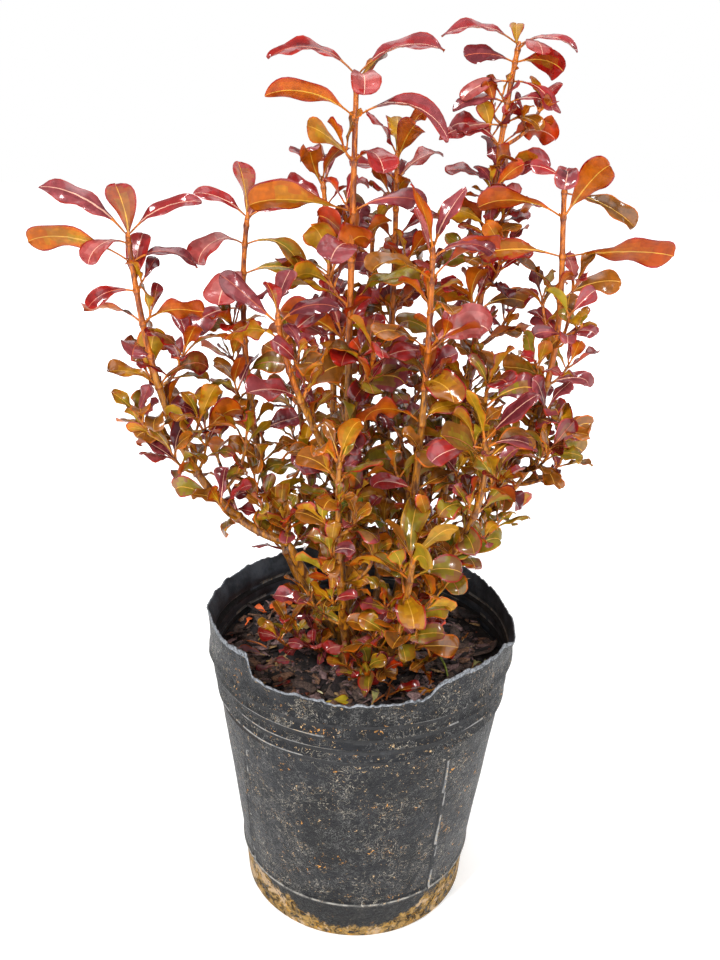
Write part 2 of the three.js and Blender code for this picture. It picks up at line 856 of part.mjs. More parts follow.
// A solid with its vertices rounded to GRID, or null where that would open, flatten or split it.
function rounded(solid) {
  const { vertProperties, triVerts } = solid.getMesh();
  const positions = vertProperties.map((value) => Math.round(value / GRID) * GRID);
  const spot = (v) => positions.slice(3 * v, 3 * v + 3).join();
  const edges = new Set();
  const kept = [];
  for (let i = 0; i < triVerts.length; i += 3) {
    const corners = Array.from(triVerts.slice(i, i + 3));
    const spots = corners.map(spot);
    if (new Set(spots).size < 3) continue;
    if (isFlat(positions, corners)) return null;
    kept.push(...corners);
    for (const side of [0, 1, 2]) {
      const edge = spots[side] + " " + spots[(side + 1) % 3];
      if (edges.has(edge)) return null;
      edges.add(edge);
    }
  }
  const isClosed = [...edges].every((edge) => edges.has(edge.split(" ").reverse().join(" ")));
  if (!isClosed) return null;
  const geometry = new THREE.BufferGeometry();
  geometry.setAttribute("position", new THREE.BufferAttribute(positions, 3));
  geometry.setIndex(kept);
  const made = solidOf(geometry);
  return made.decompose().length === 1 ? made : null;
}

// Joins a piece to its mass, unless the mass would no longer round to one closed body.
function fuse(mass, piece) {
  const joined = mass.solid.add(piece);
  if (!rounded(joined)) return false;
  mass.solid = joined;
  return true;
}

function placeTwigs(mass) {
  for (const twig of mass.grown.twigs) {
    const steps = Math.max(2, Math.round(twig.curve.getLength() / TWIG_STEP));
    const solid = limb(twig.curve, 0, 1, twig.radius, TWIG_TAPER * twig.radius, TWIG_SIDES, steps);
    if (!isClear(mass.name, "wood", solid) || !fuse(mass, solid)) continue;
    mass.wood.push(solid);
    take(mass.name, "wood", solid);
  }
}

// A leaf on a twig that was skipped has nothing to hold it, so it must touch a placed piece.
function placeLeaf(mass, leaf, sunk) {
  const solid = leafSolid(leaf, sunk);
  if (!mass.wood.some((piece) => piece.minGap(solid, GAP) === 0)) return false;
  const outside = mass.wood.reduce((rest, piece) => rest.subtract(piece), solid);
  if (!isClear(mass.name, "leaf", outside) || !fuse(mass, solid)) return false;
  take(mass.name, "leaf", outside);
  return true;
}

// The longest leaves, which stand out, take their room first.
function placeLeaves(mass, wanted) {
  const leaves = mass.grown.leaves.filter(wanted).sort((a, b) => b.length - a.length);
  for (const leaf of leaves) {
    if (leaf.length >= SHORTEST_LEAF) ROOTS_SUNK.some((sunk) => placeLeaf(mass, leaf, sunk));
  }
}

// How far from its axis the many-sided crown's widest edge runs at an angle.
function crownEdge(angle) {
  const half = Math.PI / CROWN.segments;
  const off = THREE.MathUtils.euclideanModulo(angle, 2 * half) - half;
  return (CROWN.radius * Math.cos(half)) / Math.cos(off);
}

// A tuft leans out of the crown's side.
function tuftStem({ name, direction, reach, rise, leaf, seed }) {
  const angle = radians(direction);
  const on = (distance, height) => [
    CROWN.x + distance * Math.cos(angle),
    CROWN.y + distance * Math.sin(angle),
    height,
  ];
  const start = crownEdge(angle);
  const height = MIX_TOP + GAP + CROWN.widest * CROWN.height;
  return {
    ...TUFT,
    name,
    foot: on(start, height),
    tip: on(start + reach, height + rise),
    leaf,
    turn: direction + 90,
    bare: 0,
    seed,
    thin: true,
  };
}

function leafMaterial(stem) {
  const { colour } = LEAF_COLOURS.find(({ above }) => stem.tip[2] > above);
  return new THREE.MeshStandardMaterial({ color: colour, roughness: LEAF_ROUGHNESS });
}

// The crown, with a socket cut for each stem that starts in it.
function crownSolid(sockets) {
  const { x, y, radius, height, segments } = CROWN;
  const bottom = MIX_TOP + GAP;
  const profile = CROWN_OUTLINE.map(([out, up]) => [out * radius, bottom + up * height]);
  const dome = solidOf(turned(profile, segments).translate(x, y, 0));
  return sockets.reduce((rest, socket) => rest.subtract(socket), dome);
}

// The bare stretch of a stem, from its foot to where its mass of leaves starts.
function limbShape(stem) {
  const length = stem.curve.getLength();
  const isForked = stem.foot[2] !== STEM_START;
  const start = isForked ? GAP / length : 0;
  const top = stem.short ? 1 - stem.short / length : stem.bare;
  const topRadius = stem.endRadius ?? stemRadius(top);
  const steps = Math.max(2, Math.round((length * top) / LIMB_STEP));
  return [stem.curve, start, top, FOOT_RADIUS, topRadius, LIMB_SIDES, steps];
}

// Assembly

const plant = new THREE.Group();
plant.name = "potted_coprosma";
plant.add(meshOf("pot", solidOf(potGeometry()), plastic));
plant.add(meshOf("potting_mix", solidOf(mixGeometry()), mix));

const stems = STEMS.map((stem) => ({ ...stem, curve: curveOf(stem) }));
const sockets = [];
for (const stem of [{ ...FORK_LIMB, curve: curveOf(FORK_LIMB) }, ...stems]) {
  const shape = limbShape(stem);
  const solid = limb(...shape);
  take("stem_" + stem.name, "wood", solid);
  plant.add(meshOf("stem_" + stem.name, solid, wood));
  if (stem.foot[2] === STEM_START) sockets.push(limb(...shape, GAP));
}

const crown = crownSolid(sockets);
take("crown", "wood", crown);
plant.add(meshOf("crown", rounded(crown), wood));

const tufts = TUFTS.map(tuftStem);
const shoots = [...stems, FORK_SPRIG, ...tufts].map((stem) => ({ ...stem, curve: curveOf(stem) }));
const masses = shoots.map(massOf);
for (const mass of masses) take(mass.name, "wood", mass.solid);
for (const mass of masses) placeTwigs(mass);
for (const mass of masses) placeLeaves(mass, (leaf) => leaf.level === LEVEL.stem);
for (const mass of masses) placeLeaves(mass, (leaf) => leaf.level > LEVEL.stem);
for (const mass of masses) {
  plant.add(meshOf("shoot_" + mass.name, rounded(mass.solid), leafMaterial(mass.stem)));
}

export default plant;
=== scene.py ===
"""The looks of a potted coprosma, built round its solids.

The shrub grows by the same seeded rule as its solids and is carried on to finer twigs here.
Sizes are in millimetres and turned into metres as each mesh is made. The origin is the middle
of the pot's flat underside, +Z is up and +Y is the back.
"""

import math
import random

import bpy
import numpy as np
from mathutils import Matrix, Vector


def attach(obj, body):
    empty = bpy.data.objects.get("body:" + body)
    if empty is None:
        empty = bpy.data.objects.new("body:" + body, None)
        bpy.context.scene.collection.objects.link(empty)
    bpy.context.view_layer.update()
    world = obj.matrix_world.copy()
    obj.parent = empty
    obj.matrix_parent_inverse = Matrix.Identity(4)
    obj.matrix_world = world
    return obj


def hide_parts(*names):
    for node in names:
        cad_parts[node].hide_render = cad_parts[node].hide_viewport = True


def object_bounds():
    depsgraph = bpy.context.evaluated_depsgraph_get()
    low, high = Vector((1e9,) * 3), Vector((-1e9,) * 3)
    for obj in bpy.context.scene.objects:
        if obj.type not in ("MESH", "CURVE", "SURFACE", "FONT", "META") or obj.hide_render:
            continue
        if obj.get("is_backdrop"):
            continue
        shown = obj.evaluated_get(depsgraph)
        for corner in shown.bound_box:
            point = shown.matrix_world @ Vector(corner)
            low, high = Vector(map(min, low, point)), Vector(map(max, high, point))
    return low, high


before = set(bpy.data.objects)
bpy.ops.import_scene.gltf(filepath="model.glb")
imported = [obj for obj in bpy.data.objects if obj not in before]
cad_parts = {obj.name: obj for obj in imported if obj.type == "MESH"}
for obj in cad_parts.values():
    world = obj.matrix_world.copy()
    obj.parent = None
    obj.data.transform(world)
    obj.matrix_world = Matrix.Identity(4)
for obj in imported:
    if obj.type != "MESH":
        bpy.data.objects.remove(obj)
cad_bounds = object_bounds()

MM = 0.001
TAU = 2 * math.pi

# The photograph's frame and where it was taken from.
IMAGE_LONG_SIDE = 960
FOCAL_PIXELS = 1000
SENSOR = 36
CAMERA_AT = (-2.8, -444.7, 419.8)
CAMERA_PITCH = 22.94
CAMERA_ROLL = 1.65

# The pot, as its solid has it, but for one more fold at 130 mm.
POT_HEIGHT = 158
RIM_RADIUS = 80
BASE_RADIUS = 59
WALL = 1.3
FLOOR = 3
RING_HEIGHT = 24
WALL_LOW_RADIUS = 61.8
LIP_FOOT = 149
LIP_FOOT_RADIUS = 76.8
RIB_HEIGHTS = (123, 130, 137, 145)
TEARS = (
    {"from": -164, "to": -132, "lift": 8, "fade_in": 26, "fade_out": 3},
    {"from": -60, "to": -27, "lift": 6, "fade_in": 9, "fade_out": 12},
)
TEAR_LEAN = 0.35
DENT = {"at": 16, "half": 38, "depth": 3.5}
RIM_WAVE = 0.5
RIM_WAVES = ((5, 0), (13, 40))

# The pot's finer shape: how many vertices go round, the rows of its wall and how near to the
# rim the last plain one comes, its underside as inset and height, and the rows that the mix
# hides.
POT_ROUND = 360
POT_ROW = 0.9
POT_LAST_GAP = 0.4
UNDERSIDE = ((9, 0.9), (4, 0.7), (3, 0), (0, 0))
POT_HIDDEN = {"from": 12, "to": 14, "rows": 8}
# The lowest band of the wall, and the ring over it.
BAND = {"foot": 0.6, "top": 0.5, "below_ring": 2}
RING = {"proud": 0.9, "half": 1.2}
# The wall's soft lumps, and the heights between which they set in.
POT_LUMPS = ({"size": 60, "depth": 1.0}, {"size": 19, "depth": 0.35}, {"size": 7, "depth": 0.1})
POT_LUMP_SEED = 90
LUMP_ROUND = 60
SOFT_FROM = (4, 40)
# The folds below the rim, which fall away sharply on their lower side: their height, how the
# wall draws in between them, and where their crests are worn pale with a painted highlight and
# where the painted shade of their grooves lies.
FOLD = {
    "proud": 2.1,
    "above": 3.4,
    "below": 1.1,
    "waist": 0.35,
    "waist_rise": (100, 122),
    "crest": 0.2,
    "crest_half": 0.6,
    "worn_and_sheen": 0.88,
    "shaded_groove": (-2.6, -0.6),
}
# How they waver, fade and break: by how much, the size of the lumps and their seed.
FOLD_LUMPS = ((0.5, 34, 70), (0.3, 20, 80), (0.2, 4, 85))
FOLD_ROUND = 70
# The rim's frayed edge, how thick it is, how far down it is torn pale, and how fast tears end.
FRAY = ({"size": 1.9, "depth": 0.8}, {"size": 6, "depth": 0.8})
FRAY_SEED = 60
RIM_EDGE = 0.6
TORN_EDGE = 0.9
TEAR_SLOPE = 5

# Creases in the soft wall, from one angle and height to the other, and how much of each stays
# free of its pale wear and painted highlight. Then how they set in and fade, the bulge beside
# them, and in degrees the painted shade within them and the strip beside them that is worn pale
# with a painted highlight.
CREASES = (
    {"low": (-52.7, 24), "high": (-55.3, 118), "half": 0.9, "depth": 0.55, "plain": -0.1},
    {"low": (-150, 20), "high": (-140, 112), "half": 0.9, "depth": 0.7, "plain": 0.3},
    {"low": (-66, 27), "high": (-58, 48), "half": 0.8, "depth": 0.8, "plain": 2},
    {"low": (118, 30), "high": (109, 112), "half": 0.9, "depth": 0.6, "plain": 0},
    {"low": (40, 22), "high": (47, 96), "half": 0.9, "depth": 0.5, "plain": 0.1},
)
CREASE = {"before": 6, "after": 8, "fade": 22, "beside": 1.8, "bulge": 0.6, "bulge_half": 0.9}
CREASE_WEAR_LIGHT_AND_SHADE = {"half": 0.5, "beside": 1.1, "patch": 5, "seed": 96}

# The potting mix and the crown. The mix is flat by the crown and lumpy further out.
MIX_TOP = 132
MIX_LUMP = 1.2
MIX_WAVES = ((0.21, 0.17, 1), (0.21, -0.17, 1), (0.09, -0.13, 2))
MIX_RADIUS = 73.2
MIX_DEEP = 14
CROWN = {"x": 4, "y": 4, "radius": 20, "height": 8}
STEM_START = MIX_TOP + 3
FLAT_MIX = 12
LUMPY_MIX = 22

# The growing rule's values, as the solids have them.
LAST_DROP = 0.33
LOWEST_LEAF = 0.62
STEM_SHARE = 0.4
PAIR_ANGLES = ((72, 44), (60, 12), (52, -6), (48, -14))
STRAY = {"direction": 30, "length": 0.32, "root": 24, "tip": 40, "roll": 110}
TOP_LEAF = 0.8
BELOW_TIP = 1.5
ABOVE_FOOT = 3
FIRST_GAP = 0.24
OPENING = 0.3
SIDE_TWIG = {
    "chance": (0.1, 0.2),
    "first_pair": 2,
    "length": (14, 34),
    "depth_share": (0.8, 1.15),
    "knee": (0.45, 0.15),
    "end": (0.62, 0.7),
    "radius": 1.0,
    "bare": 0.3,
    "spacing": 16,
    "leaf_share": 0.66,
}
BRANCH = {"radius": 1.2, "bare": 0.3, "spacing": 12}
TUFT = {"spacing": 10, "radius": 1.3, "tip_radius": 0.7, "bends": (0.5, 0.2, 0.2)}
LEVEL = {"stem": 0, "branch": 1, "twig": 2, "fine": 3}
SEED_STEP = {"stem": 1000, "pair": 2}

# What the finer growth adds in the axils that the solids leave bare: its chance at the top and
# the foot of a shoot, its length, how soon below the tip that is reached, its leaves as a share
# of the shoot's, their spacing, and how it thins out at the crown's sides.
FINE_TWIG = {
    "first_pair": 1,
    "chance": (0.75, 0.95),
    "length": (3, 27),
    "favour_short": 1.3,
    "full_below": 0.5,
    "shortest": 0.1,
    "small": 0.7,
    "on_twig": 0.45,
    "turn": 25,
    "leaf_share": (0.55, 0.95),
    "spacing": 8.5,
    "bare": 0.15,
    "radius": 0.75,
    "seed": 500,
    "side_from": 48,
    "side_chance": 0.35,
}

# Stems, each as name: (foot, tip, sweep, flare, rise), (spacing, leaf, turn, bare, seed).
STEMS = {
    "far_left": (((-37, -6, 200), (-107, -4, 347), 0.82, 0.06, 0.1), (15, 33, 180, 0.12, 11)),
    "left": (((-6, 9, STEM_START), (-57, 18, 353), 0.83, -0.21, 0.12), (16, 29, 180, 0.24, 12)),
    "left_front": (
        ((-3, -5, STEM_START), (-39, -38, 322), -0.18, 0.15, 0.6),
        (16, 28, 205, 0.22, 13),
    ),
    "centre": (((0, 4, STEM_START), (-9, 2, 414), 1.3, -0.05, 0.1), (21, 40, 180, 0.2, 14)),
    "back_left": (
        ((-1, 11, STEM_START), (-25, 50, 367), 0.93, 0.5, 0.28),
        (17, 27, 170, 0.22, 15),
    ),
    "back": (((6, 13, STEM_START), (10, 42, 380), 1.3, -0.6, 0.1), (16, 30, 10, 0.24, 16)),
    "right_front": (
        ((9, -1, STEM_START), (25, -20, 348), 0.73, -0.11, 0.1),
        (17, 34, 190, 0.22, 17),
    ),
    "back_right": (
        ((12, 9, STEM_START), (63, 45, 428), 1.04, 0.32, 0.35),
        (9.5, 30, 180, 0.3, 18),
    ),
    "far_right": (((15, 3, STEM_START), (82, 5, 374), 1.3, -0.06, 0.58), (20, 30, 190, 0.22, 19)),
    "low_right": (
        ((13, -5, STEM_START), (49, -50, 274), 0.5, -0.19, 0.51),
        (14, 29, 200, 0.2, 20),
    ),
    "low_front": (
        ((7, -9, STEM_START), (21, -62, 223), 0.55, 0.07, 0.14),
        (15, 30, 180, 0.2, 21),
    ),
    "low_centre": (
        ((-3, -11, STEM_START), (-12, -48, 263), 0.69, -0.07, 0.16),
        (14, 24, 160, 0.2, 22),
    ),
    "rear": (((0, 18, STEM_START), (0, 80, 338), 0.7, 0.1, 0.3), (16, 29, 0, 0.22, 23)),
    "rear_right": (((13, 16, STEM_START), (40, 86, 290), 0.6, 0.1, 0.3), (15, 28, 20, 0.22, 24)),
    "rear_left": (((-6, 16, STEM_START), (-40, 76, 276), 0.6, 0.1, 0.3), (15, 27, 150, 0.22, 25)),
}
# The top leaves that stand out: direction, length, angle at the root, angle at the tip and
# roll, then how each looks: its scheme of tones and its width as a share of its length.
CRESTS = {
    "far_left": (
        (180, 44, 58, 2, -20, "plum", 0.25),
        (8, 37, 48, -2, 20, "young", 0.24),
        (262, 27, 86, 66, 5, "fiery", 0.5),
        (215, 24, 36, -76, -8, "blushing", 0.62),
        (185, 47, 42, -14, 40, "golden", 0.31),
        (20, 32, 34, -50, 10, "flushed", 0.3),
        (75, 26, 76, 58, 0, "blushing", 0.5),
        (200, 24, 22, -50, -25, "scarlet", 0.34),
    ),
    "left": (
        (184, 27, 45, -5, -25, "young", 0.3),
        (2, 26, 40, -5, 20, "scarlet", 0.3),
        (240, 29, 86, 70, 0, "fiery", 0.42),
        (60, 22, 58, 24, 0, "blushing", 0.45),
        (205, 29, 40, -84, -8, "blushing", 0.6),
        (346, 32, 34, -64, 14, "olive", 0.36),
        (250, 30, 34, -80, 0, "blushing", 0.6),
        (8, 34, 26, -30, 20, "olive", 0.34),
        (205, 30, 12, -50, -20, "young", 0.46),
    ),
    "left_front": (
        (240, 16, 80, 60, 0, "fiery", 0.55),
        (60, 20, 72, 46, 0, "plum", 0.5),
        (178, 31, 46, 40, -25, "flushed", 0.32),
        (8, 28, 46, -22, 20, "flushed", 0.3),
    ),
    "centre": (
        (180, 41, 50, -32, -15, "scarlet", 0.26),
        (2, 40, 52, -18, 15, "young", 0.28),
        (285, 22, 74, -88, 0, "blushing", 0.66),
        (35, 20, 56, 36, 0, "golden", 0.45),
        (182, 41, 42, -18, 35, "ruddy", 0.28),
        (352, 47, 40, -62, 15, "young", 0.25),
        (305, 27, 48, -60, 0, "blushing", 0.6),
        (165, 26, 50, 16, 25, "bronze", 0.5),
        (182, 46, 20, -14, 40, "golden", 0.42),
        (4, 34, 35, -20, 20, "flushed", 0.36),
    ),
    "right_front": (
        (205, 29, 76, 60, 0, "scarlet", 0.3),
        (38, 29, 62, 50, 8, "plum", 0.3),
        (150, 22, 70, 58, 0, "blushing", 0.42),
        (8, 28, 42, -30, 20, "flushed", 0.32),
    ),
    "back_right": (
        (179, 37, 34, -32, -15, "young", 0.25),
        (2, 29, 38, -40, 15, "young", 0.22),
        (300, 22, 50, -60, 0, "blushing", 0.62),
        (95, 17, 60, 30, 0, "golden", 0.42),
        (186, 24, 20, -16, -35, "flushed", 0.42),
        (330, 25, 24, -34, -30, "fiery", 0.6),
        (188, 25, 4, -50, -28, "blushing", 0.32),
        (355, 25, 12, -68, 20, "young", 0.36),
        (184, 27, 24, -46, -22, "flushed", 0.26),
        (2, 27, 32, -42, 20, "young", 0.26),
        (182, 31, 6, -36, -22, "blushing", 0.26),
        (350, 20, 50, -56, 18, "bronze", 0.42),
    ),
    "far_right": (
        (175, 17, 45, 0, -25, "young", 0.42),
        (262, 20, 66, -80, 0, "plum", 0.6),
        (80, 18, 50, 10, 0, "young", 0.45),
        (8, 37, -8, -40, 40, "bronze", 0.32),
        (312, 33, 62, 34, -45, "ruddy", 0.46),
        (182, 40, 38, -22, 25, "ruddy", 0.34),
        (2, 50, 8, -6, -35, "ruddy", 0.33),
        (184, 38, 20, -16, -20, "fiery", 0.36),
        (165, 28, 58, 20, 0, "bronze", 0.45),
        (10, 30, 40, -6, 20, "bronze", 0.42),
    ),
    "low_right": (
        (215, 25, 76, 60, 0, "umber", 0.34),
        (335, 32, 52, 38, 30, "plum", 0.3),
        (10, 25, 30, -42, 10, "plum", 0.32),
        (190, 25, 20, -42, -20, "young", 0.5),
    ),
}
# They are smoother and straighter than the others, and all take a margin tone, which is partly a
# painted rim light.
CREST_LOOKS = {"wave": 0.03, "sway": 0.03, "edged": True, "cup": -0.12, "hook": -0.15}
# How much further a placed leaf rolls by its tip, per degree of roll, and the roll it stops at.
CREST_TWIST = 1.6
STEEPEST_ROLL = 62
# The narrow ones are pointed.
NARROW = 0.31
POINTED = {"shoulder": 1.3, "blunt": 0.85}
# Branches: the share of the stem they leave at, then tip, sweep, flare and rise, and their leaf.
BRANCHES = {
    "centre": ((0.46, ((2, -24, 303), 0.4, 0.15, 0.33), 25),),
    "far_right": (
        (0.3, ((53, -14, 286), 0.8, -0.09, 0.1), 26),
        (0.36, ((91, -8, 258), 0.37, 0.56, 0.1), 24),
    ),
}
FORK_LIMB = ((-8, 1, STEM_START), (-37, -6, 200), 0.22, 0.26, 0.41)
FORK_SPRIG = (((-37.6, -6.4, 203), (-37, -15, 219), 0.3, 0.2, 0.4), (8, 19, 190, 0, 31))
# Tufts at the crown: direction, reach, rise, leaf, seed.
TUFTS = {
    "tuft_front": (268, 26, 15, 20, 41),
    "tuft_left": (196, 24, 20, 17, 42),
    "tuft_right": (318, 24, 16, 19, 43),
    "tuft_back_right": (36, 22, 22, 17, 44),
    "tuft_back_left": (152, 22, 20, 17, 45),
}
# The masses that share one mesh of leaves.
LEAF_GROUPS = {
    "leaves_left": ("far_left", "left", "left_front", "fork_sprig"),
    "leaves_centre": ("centre", "right_front", "low_centre"),
    "leaves_right": ("back_right", "far_right", "low_right"),
    "leaves_rear": ("back_left", "back", "rear", "rear_right", "rear_left"),
    "leaves_foot": ("low_front", *TUFTS),
}

# Wood: radii, the swelling at each pair of leaves, the relief of the bark, how a limb's tip
# tapers, the heights at which bark turns from old to middle and young, how these waver, and how
# far below a pair of leaves its ring lies.
FOOT_RADIUS = 2.4
TIP_RADIUS = 1.1
LIMB_ROUND = 14
LIMB_ROW = 0.9
TWIG_ROUND = 8
TWIG_ROW = 1.4
TWIG_TAPER = 0.65
NODE_SWELL = {"share": 0.34, "half": 1.25}
BARK_RELIEF = {"foot": 0.17, "tip": 0.05, "across": 1.5, "along": 7}
LIMB_TIP = {"length": 3.5, "taper": 0.45}
OLD_WOOD = 168
YOUNG_WOOD = 285
BARK_WAVER = {"by": 9, "size": 9}
RING_BELOW = 1.1
FORK_LIMB_WOOD = {"thicker": 0.3, "tip": 2.1}
WOOD_SEED = {"fork": 7, "stem": 11, "twig": 40}
# How upright a limb may start before its vertices are counted from another side.
NEARLY_UPRIGHT = 0.9
# The crown's grid, how blunt it is, and its knobs: depth, size and seed.
CROWN_GRID = {
    "sides": 96,
    "rows": 40,
    "top": 0.98,
    "sunk": 1,
    "blunt": 0.55,
    "centre": 12,
    "inset": 0.9,
}
KNOBS = ((1.3, 9, 31), (0.7, 3.2, 32), (0.25, 1.2, 33))

# Leaves: for each resolution the shortest leaf that has it, the rows along its blade and the
# strips across it, as shares of its length and half width. The middle strip is the rib, and the
# outermost are the margin.
LEAF_GRIDS = (
    (
        28,
        (
            *(0, 0.06, 0.12, 0.17, 0.22, 0.27, 0.32, 0.38, 0.44, 0.5, 0.56),
            *(0.62, 0.68, 0.74, 0.8, 0.85, 0.9, 0.94, 0.97, 0.99, 1),
        ),
        (-1, -0.9, -0.66, -0.36, -0.06, 0.06, 0.36, 0.66, 0.9, 1),
    ),
    (
        20,
        (0, 0.07, 0.14, 0.2, 0.27, 0.35, 0.43, 0.51, 0.59, 0.67, 0.75, 0.83, 0.9, 0.95, 0.985, 1),
        (-1, -0.87, -0.48, -0.08, 0.08, 0.48, 0.87, 1),
    ),
    (
        11,
        (0, 0.09, 0.2, 0.31, 0.42, 0.53, 0.64, 0.75, 0.85, 0.93, 0.98, 1),
        (-1, -0.85, -0.45, -0.08, 0.08, 0.45, 0.85, 1),
    ),
    (4.5, (0, 0.12, 0.28, 0.45, 0.62, 0.79, 0.92, 1), (-1, -0.8, -0.1, 0.1, 0.8, 1)),
)
PETIOLE_END = 0.2
BLADE_START = 0.1
# The side veins: how many pairs, how far they lean to the tip, and how deep their furrows are.
VEINS = {"pairs": 6.5, "lean": 0.1, "depth": 0.011}


def lerp(a, b, share):
    """The value that lies that share of the way from a to b."""
    return a + (b - a) * share


def smoothstep(x, low, high):
    """0 below low, 1 above high and an even curve between them."""
    share = np.clip((np.asarray(x, float) - low) / (high - low), 0, 1)
    return share * share * (3 - 2 * share)


def bell(x, half):
    """A smooth hump of height 1 about 0."""
    return np.exp(-((np.asarray(x, float) / half) ** 2))


def unit(v):
    """A vector, or each row of an array, at length 1."""
    v = np.asarray(v, float)
    return v / np.linalg.norm(v, axis=-1, keepdims=True)


def lattice(corner, seed):
    """A number from -1 to 1 for each whole-number point."""
    x, y, z = (corner[..., i].astype(np.int64) for i in range(3))
    n = (x * 374761393 + y * 668265263 + z * 974634777 + seed * 1274126177) & 0xFFFFFFFF
    n = ((n ^ (n >> 13)) * 1274126177) & 0xFFFFFFFF
    return ((n ^ (n >> 16)) & 0xFFFF) / 32767.5 - 1


def lumps(points, size, seed, octaves=1):
    """Smooth noise from about -1 to 1 whose lumps are of a size in millimetres."""
    points = np.asarray(points, float) / size
    total = np.zeros(points.shape[:-1])
    for octave in range(octaves):
        spot = points * 2**octave
        low = np.floor(spot)
        share = spot - low
        share = share * share * (3 - 2 * share)
        for corner in np.ndindex(2, 2, 2):
            weight = np.prod(np.where(corner, share, 1 - share), axis=-1)
            total += weight * lattice(low + corner, seed + octave) / 2**octave
    return total


class Draws:
    """The seeded sequence of numbers that the solids' masses grow by."""

    def __init__(self, seed):
        self.state = seed & 0xFFFFFFFF

    def take(self, count):
        """The next few numbers, each from 0 to 1."""
        values = []
        for _ in range(count):
            self.state = (self.state * 1664525 + 1013904223) & 0xFFFFFFFF
            values.append(self.state / 4294967296)
        return values


class Curve:
    """A smooth curve through its ends and towards its other points, walked by its length."""

    STEPS = 200
    NUDGE = 1e-4

    def __init__(self, *points):
        self.points = [np.array(p, float) for p in points]
        self.shares = np.linspace(0, 1, self.STEPS + 1)
        steps = np.linalg.norm(np.diff(self.at(self.shares), axis=0), axis=1)
        self.runs = np.concatenate([[0], np.cumsum(steps)])
        self.length = self.runs[-1]

    def at(self, share):
        """The point at a share of the curve's own parameter."""
        share = np.asarray(share, float)[..., None]
        points = self.points
        while len(points) > 1:
            points = [a + (b - a) * share for a, b in zip(points, points[1:])]
        return points[0]

    def point(self, u):
        """The point at a share of the length."""
        return self.at(np.interp(np.asarray(u) * self.length, self.runs, self.shares))

    def along(self, u):
        """The direction at a share of the length."""
        share = np.interp(np.asarray(u) * self.length, self.runs, self.shares)
        low = self.at(np.maximum(share - self.NUDGE, 0))
        return unit(self.at(np.minimum(share + self.NUDGE, 1)) - low)


def limb_curve(foot, tip, sweep, flare, rise):
    """The curve of a stem or a branch, as the solids have it."""
    start = np.array(foot, float)
    end = np.array(tip, float)
    reach = end - start
    first = start + reach * (sweep, sweep, rise)
    last = end - reach * (flare, flare, LAST_DROP)
    return Curve(start, first, last, end)


# Growth


def directions(along, azimuth):
    """The level and upward directions that a leaf at a point of a stem keeps to."""
    up = unit(np.array([0, 0, 1 - STEM_SHARE]) + STEM_SHARE * along)
    level = np.array([math.cos(azimuth), math.sin(azimuth), 0])
    return unit(level - up * level.dot(up)), up


def leaf_of(shoot, pair, side, depth, draw):
    """Direction, length, root angle, tip angle and roll of a leaf of a pair, and its looks."""
    crest = shoot.get("crest", ())
    if 2 * pair + side < len(crest):
        *values, scheme, width = crest[2 * pair + side]
        roll = values[-1]
        rolled = np.clip((1 + CREST_TWIST) * roll, -STEEPEST_ROLL, STEEPEST_ROLL)
        looks = {"scheme": scheme, "width": width, "twist": math.radians(rolled - roll)}
        return values, looks | CREST_LOOKS | (POINTED if width < NARROW else {})
    root_angle, tip_angle = PAIR_ANGLES[min(pair, len(PAIR_ANGLES) - 1)]
    size = shoot["leaf"] * lerp(1, LOWEST_LEAF, depth) * (TOP_LEAF if pair == 0 else 1)
    values = (
        shoot["turn"] + 90 * pair + 180 * side + STRAY["direction"] * (draw[0] - 0.5),
        size * (1 + STRAY["length"] * (draw[1] - 0.5)),
        root_angle + STRAY["root"] * (draw[2] - 0.5),
        tip_angle + STRAY["tip"] * (draw[3] - 0.5),
        STRAY["roll"] * (draw[4] - 0.5),
    )
    return values, {}


def grow(shoot, draws, grown):
    """Pairs of leaves down a shoot from its tip, with twigs in their axils."""
    curve = shoot["curve"]
    leafy = curve.length * (1 - shoot["bare"])
    below = BELOW_TIP
    pair = 0
    while below < leafy - ABOVE_FOOT:
        u = 1 - below / curve.length
        root = curve.point(u)
        along = curve.along(u)
        depth = below / leafy
        shoot["nodes"].append(u)
        for side in (0, 1):
            values, looks = leaf_of(shoot, pair, side, depth, draws.take(5))
            direction, length, *angles = values
            out, up = directions(along, math.radians(direction))
            leaf = {"root": root, "out": out, "up": up, "length": length}
            grown["leaves"].append(leaf | {"angles": np.radians(angles)} | looks)
            axil = {"root": root, "along": along, "depth": depth, "pair": pair, "side": side}
            grow_axil(shoot, axil, direction, draws.take(3), grown)
        below += shoot["spacing"] * min(1, FIRST_GAP + OPENING * pair)
        pair += 1


def fine_chance(shoot, axil, direction):
    """How likely an axil is to bear a fine twig."""
    if shoot["level"] == LEVEL["fine"] or axil["pair"] < FINE_TWIG["first_pair"]:
        return 0
    chance = lerp(*FINE_TWIG["chance"], axil["depth"])
    if shoot["level"] == LEVEL["twig"]:
        chance *= FINE_TWIG["on_twig"]
    if axil["root"][0] * math.cos(math.radians(direction)) > FINE_TWIG["side_from"]:
        chance *= FINE_TWIG["side_chance"]
    return chance


def twig_curve(axil, direction, length):
    """A twig that leaves its axil outward and turns up."""
    out, up = directions(axil["along"], math.radians(direction))
    knee, end = (
        axil["root"] + (share[0] * out + share[1] * up) * length
        for share in (SIDE_TWIG["knee"], SIDE_TWIG["end"])
    )
    return Curve(axil["root"], knee, end)


def seed_of(shoot, axil):
    """The seed of whatever grows in an axil."""
    return SEED_STEP["stem"] * shoot["seed"] + SEED_STEP["pair"] * axil["pair"] + axil["side"]


def grow_twig(rule, level, twig, draws, grown):
    """A twig by its rule, with its own curve, leaf, turn and seed, and its leaves."""
    twig |= {key: rule[key] for key in ("bare", "spacing", "radius")}
    twig |= {"level": LEVEL[level], "nodes": []}
    grown["twigs"].append(twig)
    grow(twig, draws, grown)


